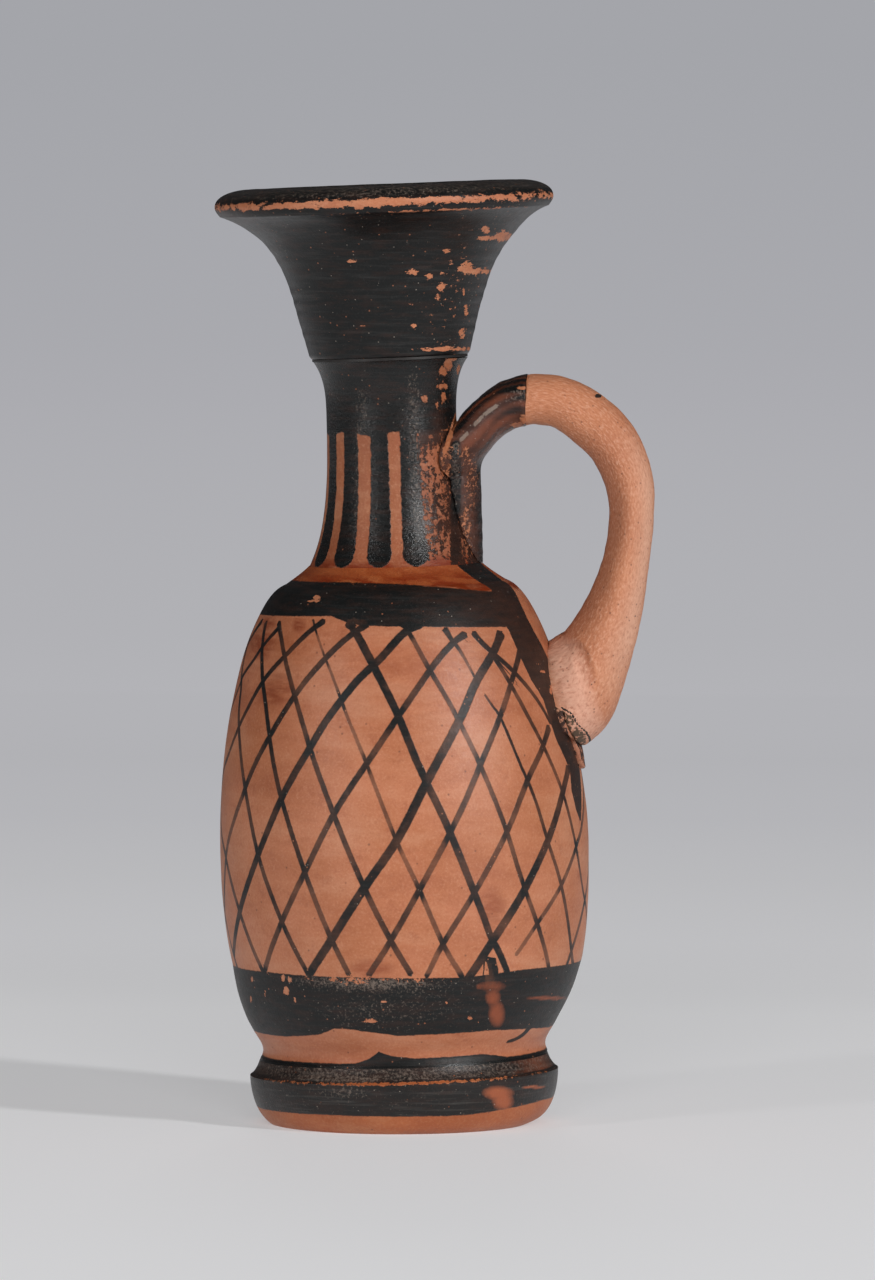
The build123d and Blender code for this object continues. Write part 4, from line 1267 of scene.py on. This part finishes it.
# What is left of the old root: broken clay with scraps of slip, bare above the crack and red below it
oldRoot = {
    "voxel": 0.2, "rounds": 2, "grow": 0.06, "plump": -0.25, "lumpSize": 2.2, "lumpDepth": 0.2, "thin": 0.6,
    "worn": 0.4, "sliverHalf": 2.1, "bareDown": (712, 702), "redWashAndShade": 0.4, "redDown": (713, 723),
}
scar = reworkNode("handle_root_scar", "old_handle_root", oldRoot["voxel"], oldRoot["rounds"])
swell(scar, oldRoot["grow"])
spots = spotsOf(scar)
pixels = pixelsOf(spots, inPlace)
bare = ramp(pixels[1], *oldRoot["bareDown"])
spots += followBar(spots)[2] * (oldRoot["plump"] * bare)[:, None]
moveSpots(scar, spots)
paint = slipAllOver(len(spots))
paint["thin"] += oldRoot["thin"]
paint["redWashAndShade"] = oldRoot["redWashAndShade"] * ramp(pixels[1], *oldRoot["redDown"])
paint["worn"] += oldRoot["worn"]
deepen(paint, "worn", lineOn(pixels, rootSliver, oldRoot["sliverHalf"]) * nearSide(spots, 0))
deepen(paint, "worn", bare * nearSide(spots))
settle(scar, paint, oldRoot)
rootGround = {"slipRoughness": 0.5, "clay": "#c98f72", "clayDeep": "#bb7f60"}
finishPiece(scar, firedPottery("broken root clay", rootGround), "luting_slip", "handle_root_scar")

# Glue in the break, crumbly at the edge
breakGlue = {
    "voxel": 0.12, "rounds": 2, "shrink": -0.05, "thin": 0.5, "worn": 0.85, "lumpSize": 0.9,
    "lumpDepth": 0.25,
}
glue = reworkNode("break_adhesive", "break_glue", breakGlue["voxel"], breakGlue["rounds"])
swell(glue, breakGlue["shrink"])
paint = slipAllOver(len(glue.data.vertices))
paint["thin"] += breakGlue["thin"]
paint["worn"] += breakGlue["worn"]
settle(glue, paint, breakGlue)
glueGround = {"slipRoughness": 0.5, "clay": "#c9855f", "clayDeep": "#b8734f"}
finishPiece(glue, firedPottery("glue with clay crumbs", glueGround), "adhesive", "break_adhesive")

# Dried luting slip under the mouth, dark and dull, which shows only as a line and keeps its CAD shape
mouthSeam = {"dark": "#161413", "light": "#2a2523", "grainSize": 0.8, "roughness": 0.45}
seamSlip, tree = newMaterial("mouth_slip of dried luting slip")
where = addNode(tree, "TexCoord").outputs["Object"]
grain = addNode(tree, "TexNoise", {"Vector": where, "Scale": perMm(mouthSeam["grainSize"]), "Detail": 4.0})
colour = addNode(tree, "MixRGB", {
    "Fac": grain.outputs["Fac"], "Color1": linearColour(mouthSeam["dark"]),
    "Color2": linearColour(mouthSeam["light"])})
shader = addNode(tree, "BsdfPrincipled", {
    "Base Color": colour.outputs[0], "Roughness": mouthSeam["roughness"]})
addNode(tree, "OutputMaterial", {"Surface": shader.outputs[0]})
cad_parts["mouth_slip"].data.materials.clear()
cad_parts["mouth_slip"].data.materials.append(seamSlip)
print("finished the handle and the seam under the mouth")

# Matt backdrop paper: a long floor that bends up far behind, with painted light: paler near the pot, where it
# also glows and so lights the pot, and darker further back
stage = {
    "width": 14.0, "front": -4.0, "bend": 5.0, "bendRadius": 1.5, "bendSteps": 32, "rise": 2.0, "climb": 12.0,
    "glow": 0.36, "glowFrom": 0.25, "glowTo": 1.2, "roughness": 0.9, "edgeReach": 0.01,
    "tones": [
        (-0.3, "#f5f5f7"), (0.2, "#f2f2f4"), (0.36, "#e8e8eb"), (0.52, "#d9d9dc"), (0.7, "#cacace"),
        (0.91, "#bdbdc1"), (1.17, "#b3b3b7"), (1.5, "#b1b1b5"), (4.0, "#ababb0"), (8.0, "#a4a5aa")],
}
bpy.ops.object.select_all(action="DESELECT")
bpy.ops.mesh.primitive_plane_add(size=1)
sweep = bpy.context.object
sweep.name = "paper_sweep"
bpy.ops.object.mode_set(mode="EDIT")
bpy.ops.transform.resize(value=(stage["width"], stage["bend"] - stage["front"], 1))
bpy.ops.transform.translate(value=(0, (stage["bend"] + stage["front"]) / 2, 0))
bpy.ops.object.mode_set(mode="OBJECT")
for spot in sweep.data.vertices:
    spot.select = spot.co.y > stage["bend"] - stage["edgeReach"]
for edge in sweep.data.edges:
    edge.select = all(sweep.data.vertices[end].select for end in edge.vertices)
for face in sweep.data.polygons:
    face.select = False
bpy.ops.object.mode_set(mode="EDIT")
bpy.ops.mesh.select_mode(type="EDGE")
bendCentre = (0, stage["bend"], stage["bendRadius"])
bpy.ops.mesh.spin(steps=stage["bendSteps"], angle=-fullTurn / 4, center=bendCentre, axis=(1, 0, 0))
bpy.ops.mesh.extrude_edges_move(TRANSFORM_OT_translate={"value": (0, 0, stage["rise"])})
bpy.ops.object.mode_set(mode="OBJECT")
bpy.ops.object.shade_smooth()
paper, tree = newMaterial("matt backdrop paper")
place = addNode(tree, "SeparateXYZ", {0: addNode(tree, "TexCoord").outputs["Object"]}).outputs
depth = addNode(tree, "Math", {0: place["Z"], 1: stage["climb"], 2: place["Y"]}, operation="MULTIPLY_ADD")
depth = depth.outputs[0]
colour = linearColour(stage["tones"][0][1])
for (start, _), (end, tone) in zip(stage["tones"], stage["tones"][1:]):
    share = addNode(tree, "MapRange", {"Value": depth, "From Min": start, "From Max": end})
    colour = addNode(tree, "MixRGB", {
        "Fac": share.outputs[0], "Color1": colour, "Color2": linearColour(tone)}).outputs[0]
shader = addNode(tree, "BsdfPrincipled", {"Base Color": colour, "Roughness": stage["roughness"]})
glow = addNode(tree, "Emission", {"Color": colour})
lit = addNode(tree, "MapRange", {
    "Value": depth, "From Min": stage["glowFrom"], "From Max": stage["glowTo"], "To Min": stage["glow"]})
near = addNode(tree, "MapRange", {
    "Value": depth, "From Min": stage["glowFrom"], "From Max": stage["glowTo"], "To Min": 1.0, "To Max": 0.0})
seen = addNode(tree, "Math", {
    0: addNode(tree, "LightPath").outputs["Is Camera Ray"], 1: near.outputs[0]}, operation="MAXIMUM")
share = addNode(tree, "Math", {0: lit.outputs[0], 1: seen.outputs[0]}, operation="MULTIPLY")
surface = addNode(tree, "MixShader", {0: share.outputs[0], 1: shader.outputs[0], 2: glow.outputs[0]})
addNode(tree, "OutputMaterial", {"Surface": surface.outputs[0]})
sweep.data.materials.append(paper)

# Two tall soft boxes, the stronger on the handle's side, a broad weak one in front and one behind
lights = {
    "right": {"side": 46, "off": 2.0, "height": 0.9, "width": 0.14, "tall": 0.4, "watts": 24.5},
    "left": {"side": -46, "off": 2.0, "height": 0.6, "width": 0.2, "tall": 0.6, "watts": 7.2},
    "front": {"side": 0, "off": 2.2, "height": 0.85, "width": 1.2, "tall": 0.8, "watts": 20},
    "back": {"side": 180, "off": 2.4, "height": 1.2, "width": 0.8, "tall": 0.6, "watts": 8},
}
for name, lamp in lights.items():
    way = math.radians(lamp["side"] + view["azimuth"])
    place = Vector((math.sin(way) * lamp["off"], -math.cos(way) * lamp["off"], lamp["height"]))
    bpy.ops.object.light_add(type="AREA", location=place)
    lampPiece = bpy.context.object
    lampPiece.name = name + "_lamp"
    lampPiece.data.shape = "RECTANGLE"
    lampPiece.data.size = lamp["width"]
    lampPiece.data.size_y = lamp["tall"]
    lampPiece.data.energy = lamp["watts"]
    lampPiece.rotation_euler = (aimPoint - place).to_track_quat("-Z", "Y").to_euler()
    lampPiece.visible_glossy = name in ("right", "left")

airGlow = 0.045
world = bpy.data.worlds.new("studio air")
bpy.context.scene.world = world
world.use_nodes = True
world.node_tree.nodes["Background"].inputs["Color"].default_value = (1, 1, 1, 1)
world.node_tree.nodes["Background"].inputs["Strength"].default_value = airGlow

bpy.ops.object.camera_add(location=eyePoint, rotation=lookWay.to_track_quat("-Z", "Y").to_euler())
camera = bpy.context.object
camera.data.sensor_fit = "VERTICAL"
camera.data.sensor_height = view["sensor"]
camera.data.lens = view["lens"]
camera.data.clip_end = view["clipEnd"]
bpy.context.scene.camera = camera
bpy.context.scene.view_settings.view_transform = "Standard"
print("set the stage")
